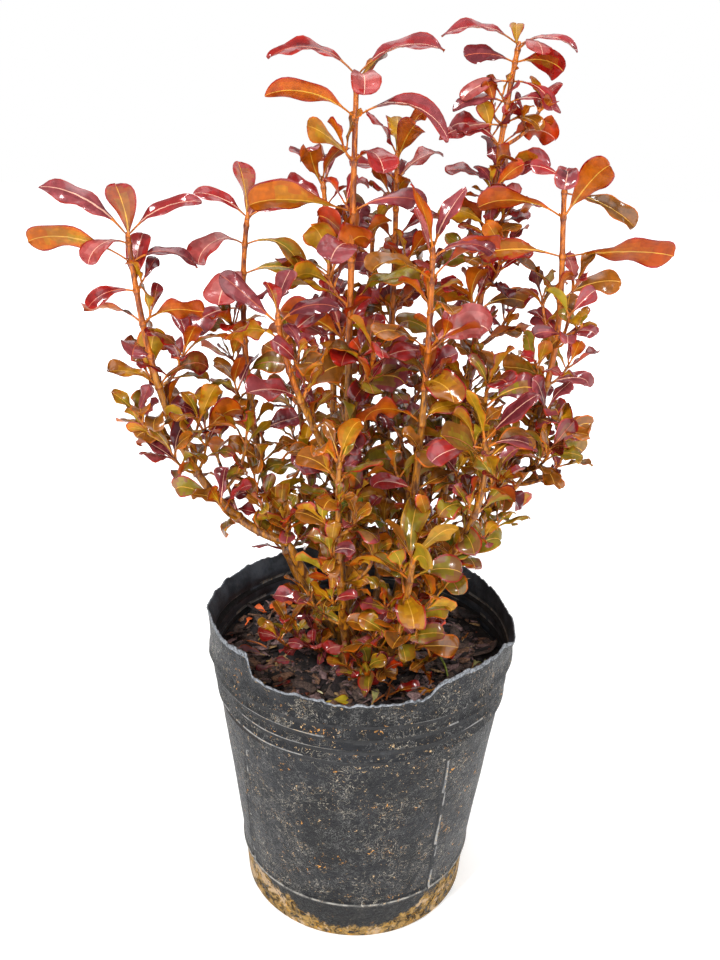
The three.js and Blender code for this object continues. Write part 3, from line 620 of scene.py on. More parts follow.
def grow_axil(shoot, axil, direction, draw, grown):
    """A side twig where the solids' rule grows one, or else finer growth."""
    may_grow = shoot["level"] == LEVEL["stem"] and not shoot.get("thin")
    first_pair = max(SIDE_TWIG["first_pair"], len(shoot.get("crest", ())) / 2)
    may_grow = may_grow and axil["pair"] >= first_pair
    if not may_grow or draw[0] > lerp(*SIDE_TWIG["chance"], axil["depth"]):
        grow_fine(shoot, axil, direction, grown)
        return
    length = lerp(*SIDE_TWIG["length"], draw[1]) * lerp(*SIDE_TWIG["depth_share"], axil["depth"])
    seed = seed_of(shoot, axil)
    twig = {
        "curve": twig_curve(axil, direction, length),
        "leaf": SIDE_TWIG["leaf_share"] * shoot["leaf"],
        "turn": direction + 90 * math.floor(draw[2] + 0.5),
        "seed": seed,
    }
    grow_twig(SIDE_TWIG, "twig", twig, Draws(seed), grown)


def grow_fine(shoot, axil, direction, grown):
    """A short twig of small leaves, by numbers of its own."""
    seed = seed_of(shoot, axil)
    own = random.Random(seed + FINE_TWIG["seed"])
    if own.random() > fine_chance(shoot, axil, direction):
        return
    length = lerp(*FINE_TWIG["length"], own.random() ** FINE_TWIG["favour_short"])
    lowness = min(1, axil["depth"] / FINE_TWIG["full_below"])
    length *= lerp(FINE_TWIG["shortest"], 1, lowness)
    small = lerp(FINE_TWIG["small"], 1, lowness)
    if shoot["level"] == LEVEL["twig"]:
        length *= FINE_TWIG["on_twig"]
    turn = direction + own.uniform(-FINE_TWIG["turn"], FINE_TWIG["turn"])
    twig = {
        "curve": twig_curve(axil, turn, length),
        "leaf": shoot["leaf"] * own.uniform(*FINE_TWIG["leaf_share"]) * small,
        "turn": turn + 90 * own.randint(0, 1),
        "seed": seed,
    }
    grow_twig(FINE_TWIG, "fine", twig, Draws(seed + FINE_TWIG["seed"]), grown)


def shoot_from(limb, values):
    """A shoot from a line of the stems' table."""
    spacing, leaf, turn, bare, seed = values
    return {
        "curve": limb_curve(*limb),
        "spacing": spacing,
        "leaf": leaf,
        "turn": turn,
        "bare": bare,
        "seed": seed,
        "level": LEVEL["stem"],
        "nodes": [],
    }


def tuft_from(direction, reach, rise, leaf, seed):
    """A tuft that leans out of the crown's side."""
    angle = math.radians(direction)
    start = CROWN["radius"]
    foot_height = MIX_TOP + CROWN["height"] / 4

    def on(distance, height):
        """A place out of the crown's middle, at a height."""
        return (
            CROWN["x"] + distance * math.cos(angle),
            CROWN["y"] + distance * math.sin(angle),
            height,
        )

    limb = (on(start, foot_height), on(start + reach, foot_height + rise))
    values = (TUFT["spacing"], leaf, direction + 90, 0, seed)
    return shoot_from((*limb, *TUFT["bends"]), values) | {"thin": True}


def all_shoots():
    """Every stem, the fork's sprig and the tufts, with their crests and branches."""
    shoots = {name: shoot_from(*rows) for name, rows in STEMS.items()}
    for name, crest in CRESTS.items():
        shoots[name]["crest"] = crest
    shoots["fork_sprig"] = shoot_from(*FORK_SPRIG)
    for name, values in TUFTS.items():
        shoots[name] = tuft_from(*values)
    return shoots


def grow_mass(name, shoot):
    """All leaves and twigs of one mass, in the order of the solids' draws."""
    draws = Draws(shoot["seed"])
    grown = {"leaves": [], "twigs": []}
    for at, limb, leaf in BRANCHES.get(name, ()):
        start = shoot["curve"].point(at)
        branch = shoot_from((start, *limb), (BRANCH["spacing"], leaf, shoot["turn"], 0, 0))
        branch |= {"bare": BRANCH["bare"], "level": LEVEL["branch"], "radius": BRANCH["radius"]}
        branch["seed"] = shoot["seed"] + int(100 * at)
        grown["twigs"].append(branch)
        grow(branch, draws, grown)
    grow(shoot, draws, grown)
    return grown


# Meshes


class Shape:
    """Vertices in millimetres and faces with a finish each, gathered for one mesh."""

    def __init__(self):
        self.points = []
        self.faces = {3: [], 4: []}
        self.kinds = {3: [], 4: []}
        self.rims = []
        self.count = 0

    def add(self, points, *parts, rim=None):
        """Adds vertices, and parts of faces, which count from the first of them, and kinds."""
        points = np.asarray(points, float).reshape(-1, 3)
        for faces, kinds in parts:
            corners = faces.shape[1]
            self.faces[corners].append(faces + self.count)
            self.kinds[corners].append(np.broadcast_to(kinds, len(faces)))
        self.points.append(points)
        self.rims.append(np.zeros(len(points), bool) if rim is None else rim)
        self.count += len(points)

    def add_closed(self, rows, middles, kinds=0, ends=None, outward=True):
        """Adds rows of vertices as a closed wall, and round a middle point at both its ends."""
        count, sides = rows.shape[:2]
        ring = np.arange(sides)
        walls = grid_faces(count, sides)
        walls = walls if outward else walls[:, ::-1]
        kinds = np.broadcast_to(kinds, len(walls))
        caps = (
            fan_faces(ring, count * sides, not outward),
            fan_faces(ring + (count - 1) * sides, count * sides + 1, outward),
        )
        cap_kinds = np.repeat([kinds[0], kinds[-1]] if ends is None else ends, sides)
        points = np.concatenate([rows.reshape(-1, 3), np.array(middles, float)])
        self.add(points, (walls, kinds), (np.concatenate(caps), cap_kinds))

    def build(self, name, materials, has_rims=False):
        """The mesh as an object in metres."""
        points = np.concatenate(self.points) * MM
        sizes = [n for n in (3, 4) if self.faces[n]]
        faces = {n: np.concatenate(self.faces[n]) for n in sizes}
        kinds = np.concatenate([np.concatenate(self.kinds[n]) for n in sizes])
        totals = np.concatenate([np.full(len(faces[n]), n) for n in sizes])
        corners = np.concatenate([faces[n].ravel() for n in sizes])
        starts = np.concatenate([[0], np.cumsum(totals)[:-1]])
        mesh = bpy.data.meshes.new(name)
        mesh.vertices.add(len(points))
        mesh.vertices.foreach_set("co", points.astype(np.float32).ravel())
        mesh.loops.add(len(corners))
        mesh.loops.foreach_set("vertex_index", corners.astype(np.int32))
        mesh.polygons.add(len(totals))
        mesh.polygons.foreach_set("loop_start", starts.astype(np.int32))
        mesh.polygons.foreach_set("material_index", kinds.astype(np.int32))
        mesh.polygons.foreach_set("use_smooth", np.ones(len(totals), bool))
        for material in materials:
            mesh.materials.append(material)
        mesh.update(calc_edges=True)
        if has_rims:
            sharpen(mesh, np.concatenate(self.rims))
        return linked(name, mesh)


def linked(name, data):
    """An object of some data, in the scene."""
    made = bpy.data.objects.new(name, data)
    bpy.context.scene.collection.objects.link(made)
    return made


def sharpen(mesh, rim):
    """Marks the edges that run between two rim vertices as sharp."""
    ends = np.zeros(2 * len(mesh.edges), np.int32)
    mesh.edges.foreach_get("vertices", ends)
    ends = ends.reshape(-1, 2)
    sharp = mesh.attributes.new("sharp_edge", "BOOLEAN", "EDGE")
    sharp.data.foreach_set("value", rim[ends[:, 0]] & rim[ends[:, 1]])


def grid_faces(rows, columns):
    """Quads between the vertices of a grid, row by row, closed round its columns."""
    row = np.arange(rows - 1)[:, None]
    column = np.arange(columns)[None, :]
    after = (column + 1) % columns
    corners = (
        row * columns + column,
        row * columns + after,
        (row + 1) * columns + after,
        (row + 1) * columns + column,
    )
    return np.stack(np.broadcast_arrays(*corners), axis=-1).reshape(-1, 4)


def fan_faces(ring, middle, outward):
    """Triangles from a ring of vertices to one in its middle."""
    after = np.roll(ring, -1)
    first, second = (ring, after) if outward else (after, ring)
    return np.stack([first, second, np.full(len(ring), middle)], axis=-1)


def ring_angles(sides):
    """The angles of the vertices round a tube."""
    return np.arange(sides) * TAU / sides


def tube(shape, spots, radii, sides, kinds, relief):
    """A closed tube through points, with a radius for each and a relief for each vertex."""
    along = unit(np.gradient(spots, axis=0))
    side = np.zeros_like(spots)
    is_level = abs(along[0][2]) < NEARLY_UPRIGHT
    side[0] = unit(np.cross(along[0], (0, 0, 1) if is_level else (1, 0, 0)))
    for i in range(1, len(spots)):
        side[i] = unit(side[i - 1] - along[i] * side[i - 1].dot(along[i]))
    front = np.cross(along, side)
    angles = ring_angles(sides)[:, None]
    ring = side[:, None] * np.cos(angles) + front[:, None] * np.sin(angles)
    points = spots[:, None] + ring * (radii[:, None] + relief)[..., None]
    shape.add_closed(points, spots[[0, -1]], kinds[:-1].repeat(sides) if np.ndim(kinds) else kinds)


def dress(piece, nodes):
    """Rides a piece on the body, and hides the solids it stands for."""
    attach(piece, "root")
    if nodes:
        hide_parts(*nodes)


# Materials


def linear(colour):
    """A colour written as 0xRRGGBB, as linear numbers."""
    parts = [(colour >> shift & 255) / 255 for shift in (16, 8, 0)]
    return tuple(c / 12.92 if c <= 0.04045 else ((c + 0.055) / 1.055) ** 2.4 for c in parts)


def shaded(colour, share):
    """A linear colour made darker or lighter."""
    return (*(min(1, c * share) for c in colour), 1)


class Nodes:
    """The nodes of a material or of the room, which all read one kind of place."""

    def __init__(self, tree, place):
        self.tree = tree
        self.place = self.node("TexCoord", {}, place)

    def feed(self, socket, value):
        """Sets a socket, or links an output to it."""
        if isinstance(value, bpy.types.NodeSocket):
            self.tree.links.new(value, socket)
        else:
            socket.default_value = value

    def node(self, kind, inputs, output, **values):
        """A node with its inputs set or linked, and one of its outputs."""
        node = self.tree.nodes.new("ShaderNode" + kind)
        for key, value in values.items():
            setattr(node, key, value)
        for key, value in inputs.items():
            self.feed(node.inputs[key], value)
        return node.outputs[output]

    def axis(self, name):
        """One of the place's three numbers."""
        return self.node("SeparateXYZ", {"Vector": self.place}, name)

    def between(self, value, low, high, start=0, end=1):
        """A value's place between two bounds, smooth, spread from start to end."""
        inputs = {"Value": value, "From Min": low, "From Max": high, "To Min": start, "To Max": end}
        return self.node("MapRange", inputs, "Result", interpolation_type="SMOOTHSTEP")

    def math(self, operation, a, b=0.0):
        """One sum of two values."""
        return self.node("Math", {0: a, 1: b}, "Value", operation=operation)

    def times(self, a, b):
        """The product of two values."""
        return self.math("MULTIPLY", a, b)

    def away(self, value, level):
        """How far a value is from a level."""
        return self.math("ABSOLUTE", self.math("SUBTRACT", value, level))


class Finish(Nodes):
    """A node-based material in the making."""

    def __init__(self, name, roughness=0.6):
        self.material = bpy.data.materials.new(name)
        self.material.use_nodes = True
        tree = self.material.node_tree
        tree.nodes.clear()
        super().__init__(tree, "Object")
        self.shader = tree.nodes.new("ShaderNodeBsdfPrincipled")
        output = tree.nodes.new("ShaderNodeOutputMaterial")
        tree.links.new(self.shader.outputs["BSDF"], output.inputs["Surface"])
        self.set("Roughness", roughness)

    def set(self, socket, value):
        """Sets one of the shader's own sockets, or links an output to it."""
        self.feed(self.shader.inputs[socket], value)

    def noise(self, size, detail=3, rough=0.55, warp=0, rise=1):
        """Noise with lumps of a size in millimetres, drawn out upwards where rise is below 1."""
        place = self.place
        if rise != 1:
            place = self.node("Mapping", {"Vector": place, "Scale": (1, 1, rise)}, "Vector")
        inputs = {"Vector": place, "Scale": 1 / (size * MM), "Detail": detail}
        inputs |= {"Roughness": rough, "Distortion": warp}
        return self.node("TexNoise", inputs, "Fac")

    def patches(self, grain, low, high, start=0, end=1):
        """Noise whose values between two bounds are spread from start to end."""
        return self.between(self.noise(*grain), low, high, start, end)

    def height(self):
        """The height above the ground, in millimetres."""
        return self.times(self.axis("Z"), 1 / MM)

    def mix(self, share, a, b):
        """A colour between two, which are outputs, linear colours or 0xRRGGBB."""
        node = self.tree.nodes.new("ShaderNodeMix")
        node.data_type = "RGBA"
        self.feed(node.inputs["Factor"], share)
        for key, value in (("A", a), ("B", b)):
            socket = next(s for s in node.inputs if s.name == key and s.type == "RGBA")
            self.feed(socket, (*linear(value), 1) if isinstance(value, int) else value)
        return next(s for s in node.outputs if s.type == "RGBA")

    def bump(self, height, depth):
        """Relief of a depth in millimetres."""
        self.set("Normal", self.node("Bump", {"Height": height, "Distance": depth * MM}, "Normal"))


# Plain surfaces: how rough each is, its grain as the values of a noise, the bounds of the grain
# between its dark and its light tone, and its relief as a noise and a depth.
SURFACES = {
    "wood": (0.34, (2.0, 5, 0.65, 0.6, 0.25), (0.36, 0.64), (0.6, 3, 0.55, 0, 0.35), 0.3),
    "soil": (0.9, (1.2, 5, 0.7), (0.3, 0.72), (0.9, 5, 0.75), 0.8),
    "mix": (0.9, (1.2, 5, 0.7), (0.3, 0.72), (0.9, 5, 0.75), 0.35),
    "litter": (0.7, (1.6, 5, 0.7), (0.3, 0.7), (0.7, 4, 0.7), 0.25),
    "worn_and_sheen": (0.5, (5, 5, 0.7, 0.5), (0.34, 0.62), (1.3, 5, 0.7), 0.3),
    "torn": (0.6, (1.4, 4, 0.7), (0.35, 0.65), (0.8, 4, 0.7), 0.3),
    "shaded_groove": (0.6, (3, 5, 0.7), (0.45, 0.7), (1.3, 5, 0.7), 0.3),
    "inside": (0.5, (9, 5, 0.7), (0.35, 0.68), (1.3, 5, 0.7), 0.3),
}
# Older, middle and young bark, and the ring at each pair of leaves.
WOOD_TONES = {
    "wood_old": (0x4A2C10, 0x9C6624),
    "wood_mid": (0x54290A, 0xB87412),
    "wood_young": (0x5E1C04, 0xC86C0C),
    "wood_ring": (0x5C2608, 0x9A4E10),
}
MIX_TONES = {
    "mix_soil": (0x0C0A09, 0x2C221E),
    "chip_black": (0x110F0E, 0x34292A),
    "chip_dark": (0x2A1F1D, 0x6A564C),
    "chip_brown": (0x4A3226, 0x9C745A),
    "chip_purple": (0x443032, 0x9C7E7A),
    "chip_red": (0x56291A, 0x8E4A30),
    "chip_tan": (0x7A5C36, 0xC2A070),
    "grit": (0x99927F, 0xD9D4C4),
}
STRAW_TONES = {
    "straw_pale": (0xB9AE7A, 0xE2D9AE),
    "straw_orange": (0x9A4A1C, 0xCC7430),
    "straw_green": (0x5E6E22, 0x93A03C),
    "stone": (0xB8B1A6, 0xE4DFD6),
}
POT_TONES = {
    # Pale wear with a painted highlight, on the folds' crests and beside the creases.
    "worn_and_sheen": (0x46484B, 0x8C8A86),
    "torn": (0x34373B, 0x8E9298),
    # Painted shade, in the grooves under the folds and within the creases.
    "shaded_groove": (0x050507, 0x26272B),
    # Painted lighter than the wall, as light on the inside of the pot, which lies in shade.
    "inside": (0x262B32, 0x4A5058),
}
# The grains of dry peat on the worn folds, whose pale crests are also a painted highlight: a
# noise, its bounds and a tone.
WORN_SPECKS = ((2.2, 4, 0.75), 0.58, 0.63, 0xB49870)


def plain_finish(name, tones, surface, specks=()):
    """A finish of two tones that its grain deals out, with a fine relief and perhaps specks."""
    roughness, grain, bounds, relief, depth = SURFACES[surface]
    finish = Finish(name, roughness)
    colour = finish.mix(finish.patches(grain, *bounds), *tones)
    if specks:
        *patches, tone = specks
        colour = finish.mix(finish.patches(*patches), colour, tone)
    finish.set("Base Color", colour)
    finish.bump(finish.noise(*relief), depth)
    return finish.material


def plain_finishes(tones, surface):
    """One plain finish for each pair of tones."""
    return [plain_finish(name, pair, surface) for name, pair in tones.items()]


def mix_finishes():
    """The potting mix itself, and the tones of its bark, crumbs and grit."""
    tones = dict(MIX_TONES)
    soil = plain_finish("mix_soil", tones.pop("mix_soil"), "soil")
    return [soil, *plain_finishes(tones, "mix")]


# Leaf tones. Each is a plain colour with a faint mottling, and how rough it is.
TONES = {
    "blush": (0xA05450, 0.2),
    "rose": (0x8C1E1E, 0.18),
    "mauve": (0x80363A, 0.18),
    "plum": (0x5C1E24, 0.17),
    "wine": (0x641012, 0.17),
    "crimson": (0x8A120A, 0.19),
    "bronze": (0x8A4E10, 0.19),
    "umber": (0x704418, 0.18),
    "olive": (0x7A681A, 0.18),
    "green": (0x5E7C30, 0.18),
    "amber": (0xAA5404, 0.4),
    "ember": (0xAC3004, 0.4),
    "gold": (0xA0700A, 0.4),
    "moss": (0x8A7410, 0.4),
    "russet": (0x983C04, 0.4),
    "coral": (0x8E1E0E, 0.3),
    "yellow_rib": (0xC8922E, 0.4),
    "red_rib": (0xA85034, 0.36),
    "pale_rib": (0xD09A84, 0.3),
    "stalk": (0xC06C1C, 0.4),
    "dry_tan": (0x9C7A42, 0.7),
    "dry_olive": (0x8A8650, 0.7),
    "dry_purple": (0x66383E, 0.6),
    "dry_yellow": (0xB09A20, 0.5),
    "petal": (0xE0601A, 0.6),
}
# The tones of the undersides, which shine less.
UNDER_TONES = ("amber", "ember", "gold", "moss", "russet")
# A leaf's tones: its stalk, its rib above and below, its blade above and then below, each with
# the tone by the rib and the one towards the edge and the tip, and its margin. The margin is a
# coloured rim of the leaf, and in the olive, green and plum schemes its paler gold or coral is
# also a painted rim light.
SCHEMES = {
    "young": "stalk pale_rib yellow_rib rose mauve amber russet coral",
    "blushing": "stalk pale_rib pale_rib blush rose russet ember coral",
    "flushed": "stalk red_rib yellow_rib mauve plum amber russet wine",
    "scarlet": "stalk red_rib yellow_rib wine crimson amber ember coral",
    "fiery": "stalk yellow_rib yellow_rib bronze crimson bronze crimson crimson",
    "golden": "stalk yellow_rib yellow_rib gold bronze gold amber crimson",
    "ruddy": "stalk red_rib yellow_rib umber wine amber russet crimson",
    "plum": "stalk pale_rib yellow_rib plum mauve gold russet coral",
    "bronze": "stalk yellow_rib yellow_rib umber bronze gold amber amber",
    "umber": "stalk red_rib yellow_rib olive umber moss gold amber",
    "rosy_olive": "stalk yellow_rib yellow_rib olive mauve moss russet coral",
    "olive": "stalk yellow_rib yellow_rib olive bronze moss gold gold",
    "green": "stalk yellow_rib yellow_rib green olive moss gold gold",
    "tan": "dry_tan dry_tan dry_tan dry_tan dry_olive dry_tan dry_tan dry_tan",
    "dry": "dry_tan dry_olive dry_tan dry_olive dry_olive dry_tan dry_olive dry_tan",
    "dead_purple": "dry_tan dry_tan dry_tan dry_purple mauve dry_purple dry_purple russet",
    "yellow": "dry_tan dry_tan dry_tan dry_yellow dry_yellow dry_yellow olive bronze",
    "petal": "petal petal petal petal petal petal petal petal",
}
# How often each scheme falls on a leaf, by the height from which it holds.
SCHEME_ODDS = (
    (335, "young 28 blushing 14 flushed 18 scarlet 16 fiery 6 bronze 12 golden 8"),
    (285, "young 17 blushing 8 flushed 13 scarlet 8 ruddy 10 bronze 21 umber 10 golden 13"),
    (235, "young 8 flushed 7 plum 7 bronze 26 umber 12 ruddy 8 rosy_olive 10 olive 14 golden 12"),
    (180, "young 7 plum 5 bronze 26 umber 12 rosy_olive 11 olive 18 green 10 golden 13"),
    # The lowest leaves lean to lighter schemes, partly for their own colour and partly as painted
    # light for the shade at the foot of the crown.
    (0, "young 12 blushing 18 plum 3 rosy_olive 19 bronze 20 olive 14 golden 14"),
)
# A leaf's parts, in the order of a scheme's tones. Each surface of a blade has its tone by the
# rib, the one between, and the one towards the edge.
BLADE_PARTS = ("top", "top_mid", "top_edge", "under", "under_mid", "under_edge")
PART_NAMES = ("stalk", "rib_top", "rib_under", *BLADE_PARTS, "margin")
PARTS = {name: i for i, name in enumerate(PART_NAMES)}
# Where a blade's tones change, as a share of the way to its edge and tip, how far that differs
# from leaf to leaf, how ragged the change is, and how much the way out and the way up count.
TONE_STEPS = {"mid": 0.5, "edge": 0.76, "by_leaf": 0.3, "ragged": 0.07, "out": 0.85, "up": 0.25}
# A leaf tone's mottling: its two noises, their bounds and how dark and light it is, and its
# gloss above and below and its relief.
MOTTLING = {"fine": (3.4, 2), "broad": (22, 2), "bounds": (0.78, 1.22), "shades": (0.78, 1.2)}
LEAF_GLOSS = {"top": 0.5, "under": 0.25}
LEAF_BUMP = {"grain": (6, 1), "depth": 0.22}


def tone_lists():
    """For each scheme the tones of all its parts, and every tone that the leaves need."""
    made = {}
    for scheme, words in SCHEMES.items():
        *stalk_and_ribs, top, top_edge, under, under_edge, margin = words.split()
        made[scheme] = (
            *((tone,) for tone in stalk_and_ribs),
            *((top,), (top, top_edge), (top_edge,)),
            *((under,), (under, under_edge), (under_edge,)),
            (margin,),
        )
    return made, sorted({tone for parts in made.values() for tone in parts})


def leaf_finish(tones):
    """A leaf tone, or the one between two: a plain colour, faintly mottled, with a waxy gloss."""
    colours = [linear(TONES[tone][0]) for tone in tones]
    roughness = sum(TONES[tone][1] for tone in tones) / len(tones)
    finish = Finish("leaf_" + "_".join(tones), roughness)
    base = [sum(parts) / len(colours) for parts in zip(*colours)]
    mottling = (finish.noise(*MOTTLING[size]) for size in ("fine", "broad"))
    fleck = finish.between(finish.math("ADD", *mottling), *MOTTLING["bounds"])
    shades = (shaded(base, share) for share in MOTTLING["shades"])
    finish.set("Base Color", finish.mix(fleck, *shades))
    side = "under" if tones[0] in UNDER_TONES else "top"
    finish.set("Specular IOR Level", LEAF_GLOSS[side])
    finish.bump(finish.noise(*LEAF_BUMP["grain"]), LEAF_BUMP["depth"])
    return finish.material


# Pot

# Which finish of the pot each face has.
POT_KINDS = {kind: i for i, kind in enumerate(("wall", *POT_TONES))}
# Scratches on the wall: their size, width, strength and tone.
STROKES = (
    (3.6, 0.014, 0.75, 0x94918C),
    (2.2, 0.018, 0.5, 0x7C7A76),
    (8, 0.008, 0.9, 0xB8AE9C),
)
STROKE_NOISE = (3, 0.6, 1.4)
STROKE_PATCHES = {"wider": 3, "noise": (3, 0.6), "bounds": (0.48, 0.56)}
# Peat on the wall: the size of its grains and of the patches they lie in, rarity and tone.
PEAT = ((1.5, 9, 0.5, 0xC8A678), (2.8, 15, 0.56, 0xD2923C))
PEAT_FLAKES = {"noise": (4, 0.75, 0.6), "bounds": (0.62, 0.64)}
PEAT_PATCHES = {"noise": (3, 0.6), "soft": 0.05}
# The wall's noises, each with the bounds that it is spread between, and its tones.
WALL_GRAINS = {
    "broad": ((30, 5, 0.6, 0.6), 0.3, 0.72),
    "clouds": ((13, 6, 0.72, 0.8), 0.46, 0.74),
    "ring": ((6, 5, 0.7), 0.36, 0.6, 0.1, 0.85),
    "mud": ((4.4, 6, 0.75, 0.8), 0.38, 0.62),
    "chalk": ((12, 4, 0.6, 0.5), 0.52, 0.6),
    "rust": ((2.4, 4, 0.75, 0.8), 0.58, 0.63),
    "bare": ((6, 6, 0.78, 0.4), 0.4, 0.46),
}
WALL_TONES = {
    "plain": (0x07080B, 0x13151A),
    "dust": 0x34363B,
    "ring": 0xA8A49C,
    "below_ring": 0x0E0F11,
    "mud": (0x2C2012, 0xAA8850),
    "chalk": 0xC0A482,
    "rust": 0xC48818,
}
# Its fine scratches, its relief and its gloss.
WALL_FINE = (2.2, 6, 0.7)
WALL_RELIEF = {"fine": (1.3, 6, 0.75), "lumps": (5, 4, 0.6), "mud": (2.6, 4, 0.7), "depth": 0.55}
WALL_GLOSS = {"specular": 0.25, "roughness": (0.3, 0.75, 0.34, 0.6), "mud": 0.95}
# How much shows of the dust, by the fine scratches, and of the band below the ring, the chalk
# and the rust. Then how far above the ring its pale line runs, and how soft and far down it is.
WALL_SHARES = {"dust": (0.35, 0.68, 0.05, 0.5), "below_ring": 0.8, "chalk": 0.85, "rust": 0.9}
RING_LINE = {"above": 0.4, "soft": (0.2, 0.75, 1, 0), "band": (2.5, 1)}
# How much higher the mud reaches at the sides, how ragged its edge is, and how soft.
MUD = {"sideways": (0.006, 0.05, -5, 10), "grain": (9, 6, 0.75), "ragged": 22, "soft": (-1.5, 1)}


def on_round(radius, angle, z):
    """Points round the pot's axis, at angles in degrees."""
    turn = np.radians(angle)
    return np.stack(np.broadcast_arrays(radius * np.cos(turn), radius * np.sin(turn), z), -1)


def lip_share(z):
    """How far up the widened lip a height is."""
    return np.clip((z - LIP_FOOT) / (POT_HEIGHT - LIP_FOOT), 0, 1)


def wall_radius(z):
    """The plain wall's outer radius at a height."""
    return lerp(WALL_LOW_RADIUS, LIP_FOOT_RADIUS, (z - RING_HEIGHT) / (LIP_FOOT - RING_HEIGHT))


def rim_lift(angle):
    """How far the torn rim stands above its plain level at angles in degrees."""
    wave = sum(np.sin(np.radians(turns * angle + start)) for turns, start in RIM_WAVES)
    torn = np.zeros_like(angle)
    for tear in TEARS:
        rising = smoothstep(angle, tear["from"] - tear["fade_in"], tear["from"])
        end = tear["to"] + max(tear["fade_out"], TEAR_SLOPE)
        falling = 1 - np.clip((angle - tear["to"] + TEAR_SLOPE / 3) / (end - tear["to"]), 0, 1)
        torn = np.maximum(torn, tear["lift"] * rising * falling)
    return RIM_WAVE * wave + torn


def fold_places(angle, z):
    """For each fold, how far above it points of the wall lie, its strength and its breaks."""
    around = on_round(FOLD_ROUND, angle, 0 * z)
    for i, rib in enumerate(RIB_HEIGHTS):
        waver, fade, broken = (
            share * lumps(around, size, seed + i) for share, size, seed in FOLD_LUMPS
        )
        yield z - rib - waver, 1 + fade, broken


def fold_profiles(angle, z):
    """How far each fold stands out at points of the wall, as shares of its full height."""
    shares = []
    for above, strength, _ in fold_places(angle, z):
        upper = np.exp(-np.maximum(above, 0) / FOLD["above"])
        lower = np.clip(1 + above / FOLD["below"], 0, 1)
        shares.append(strength * np.where(above > 0, upper, lower))
    return np.array(shares)


def fold_wear_light_and_shade(angle, z):
    """Where a fold's crest is worn pale with a painted highlight, and where the painted shade of
    the groove right under it lies.
    """
    worn_and_sheen = np.zeros(z.shape, bool)
    shaded_groove = np.zeros(z.shape, bool)
    low, high = FOLD["shaded_groove"]
    for above, strength, broken in fold_places(angle, z):
        on_crest = np.abs(above - FOLD["crest"]) < FOLD["crest_half"]
        worn_and_sheen |= on_crest & (strength + broken > FOLD["worn_and_sheen"])
        shaded_groove |= (above < high) & (above > low)
    return worn_and_sheen, shaded_groove & ~worn_and_sheen


def crease_angle(crease, z):
    """The angle in degrees at which a crease lies at a height."""
    (low_angle, low), (high_angle, high) = crease["low"], crease["high"]
    return lerp(low_angle, high_angle, np.clip((z - low) / (high - low), 0, 1))


def crease_wear_light_and_shade(angles, z):
    """Where the wall beside a crease is worn pale with a painted highlight, and where painted shade
    lies within it.
    """
    worn_and_sheen = np.zeros(angles.shape, bool)
    dark = np.zeros(angles.shape, bool)
    half = CREASE_WEAR_LIGHT_AND_SHADE["half"]
    for crease in CREASES:
        (low_angle, low), (_, high) = crease["low"], crease["high"]
        if low < z < high:
            off = angles - crease_angle(crease, z)
            spot = np.array([[z, low_angle, 0.0]])
            patch = lumps(spot, CREASE_WEAR_LIGHT_AND_SHADE["patch"], CREASE_WEAR_LIGHT_AND_SHADE["seed"])[0]
            dark |= np.abs(off) < half
            worn_and_sheen |= (np.abs(off - CREASE_WEAR_LIGHT_AND_SHADE["beside"]) < half) & (patch > crease["plain"])
    return worn_and_sheen & ~dark, dark


def crease_relief(crease, angle, z, radius):
    """How far a crease sinks into the wall, and how far the wall bulges beside it."""
    low, high = crease["low"][1], crease["high"][1]
    off = np.radians(angle - crease_angle(crease, z)) * radius
    fade = smoothstep(z, low - CREASE["before"], low + CREASE["after"])
    fade = fade * (1 - smoothstep(z, high - CREASE["fade"], high))
    bulge = CREASE["bulge"] * bell(off - CREASE["beside"], CREASE["bulge_half"])
    return crease["depth"] * fade * (bell(off, crease["half"]) - bulge)


def pot_kinds(angles, levels):
    """Which finish each face of the wall has."""
    kinds = []
    for z in levels:
        # A fold's crest is worn pale with a painted highlight, and painted shade lies in the groove
        # under it.
        worn_and_sheen, shaded_groove = fold_wear_light_and_shade(angles, np.full_like(angles, z))
        # The strip beside each crease is worn pale with a painted highlight, and painted shade lies
        # within the crease.
        lit_beside_crease, sunk = crease_wear_light_and_shade(angles, z)
        kind = np.where(shaded_groove | sunk, POT_KINDS["shaded_groove"], POT_KINDS["wall"])
        kind = np.where(worn_and_sheen | lit_beside_crease, POT_KINDS["worn_and_sheen"], kind)
        kinds.append(np.where(z > POT_HEIGHT - TORN_EDGE, POT_KINDS["torn"], kind))
    return np.array(kinds)


def pot_radius(angle, z):
    """The wall's outer radius with its ring, folds, lip, lumps and creases."""
    foot, top = BASE_RADIUS + BAND["foot"], WALL_LOW_RADIUS - BAND["top"]
    band = lerp(foot, top, np.clip(z / RING_HEIGHT, 0, 1))
    radius = np.where(z < RING_HEIGHT - BAND["below_ring"], band, wall_radius(z))
    radius += RING["proud"] * bell(z - RING_HEIGHT, RING["half"])
    radius = np.where(z > LIP_FOOT, lerp(LIP_FOOT_RADIUS, RIM_RADIUS, lip_share(z)), radius)
    waist = FOLD["waist"] * smoothstep(z, *FOLD["waist_rise"])
    radius += FOLD["proud"] * (fold_profiles(angle, z).max(axis=0) - waist)
    soft = smoothstep(z, *SOFT_FROM)
    spots = on_round(LUMP_ROUND, angle, z)
    for i, lump in enumerate(POT_LUMPS):
        radius += soft * lump["depth"] * lumps(spots, lump["size"], POT_LUMP_SEED + i)
    for crease in CREASES:
        radius -= crease_relief(crease, angle, z, radius)
    return radius


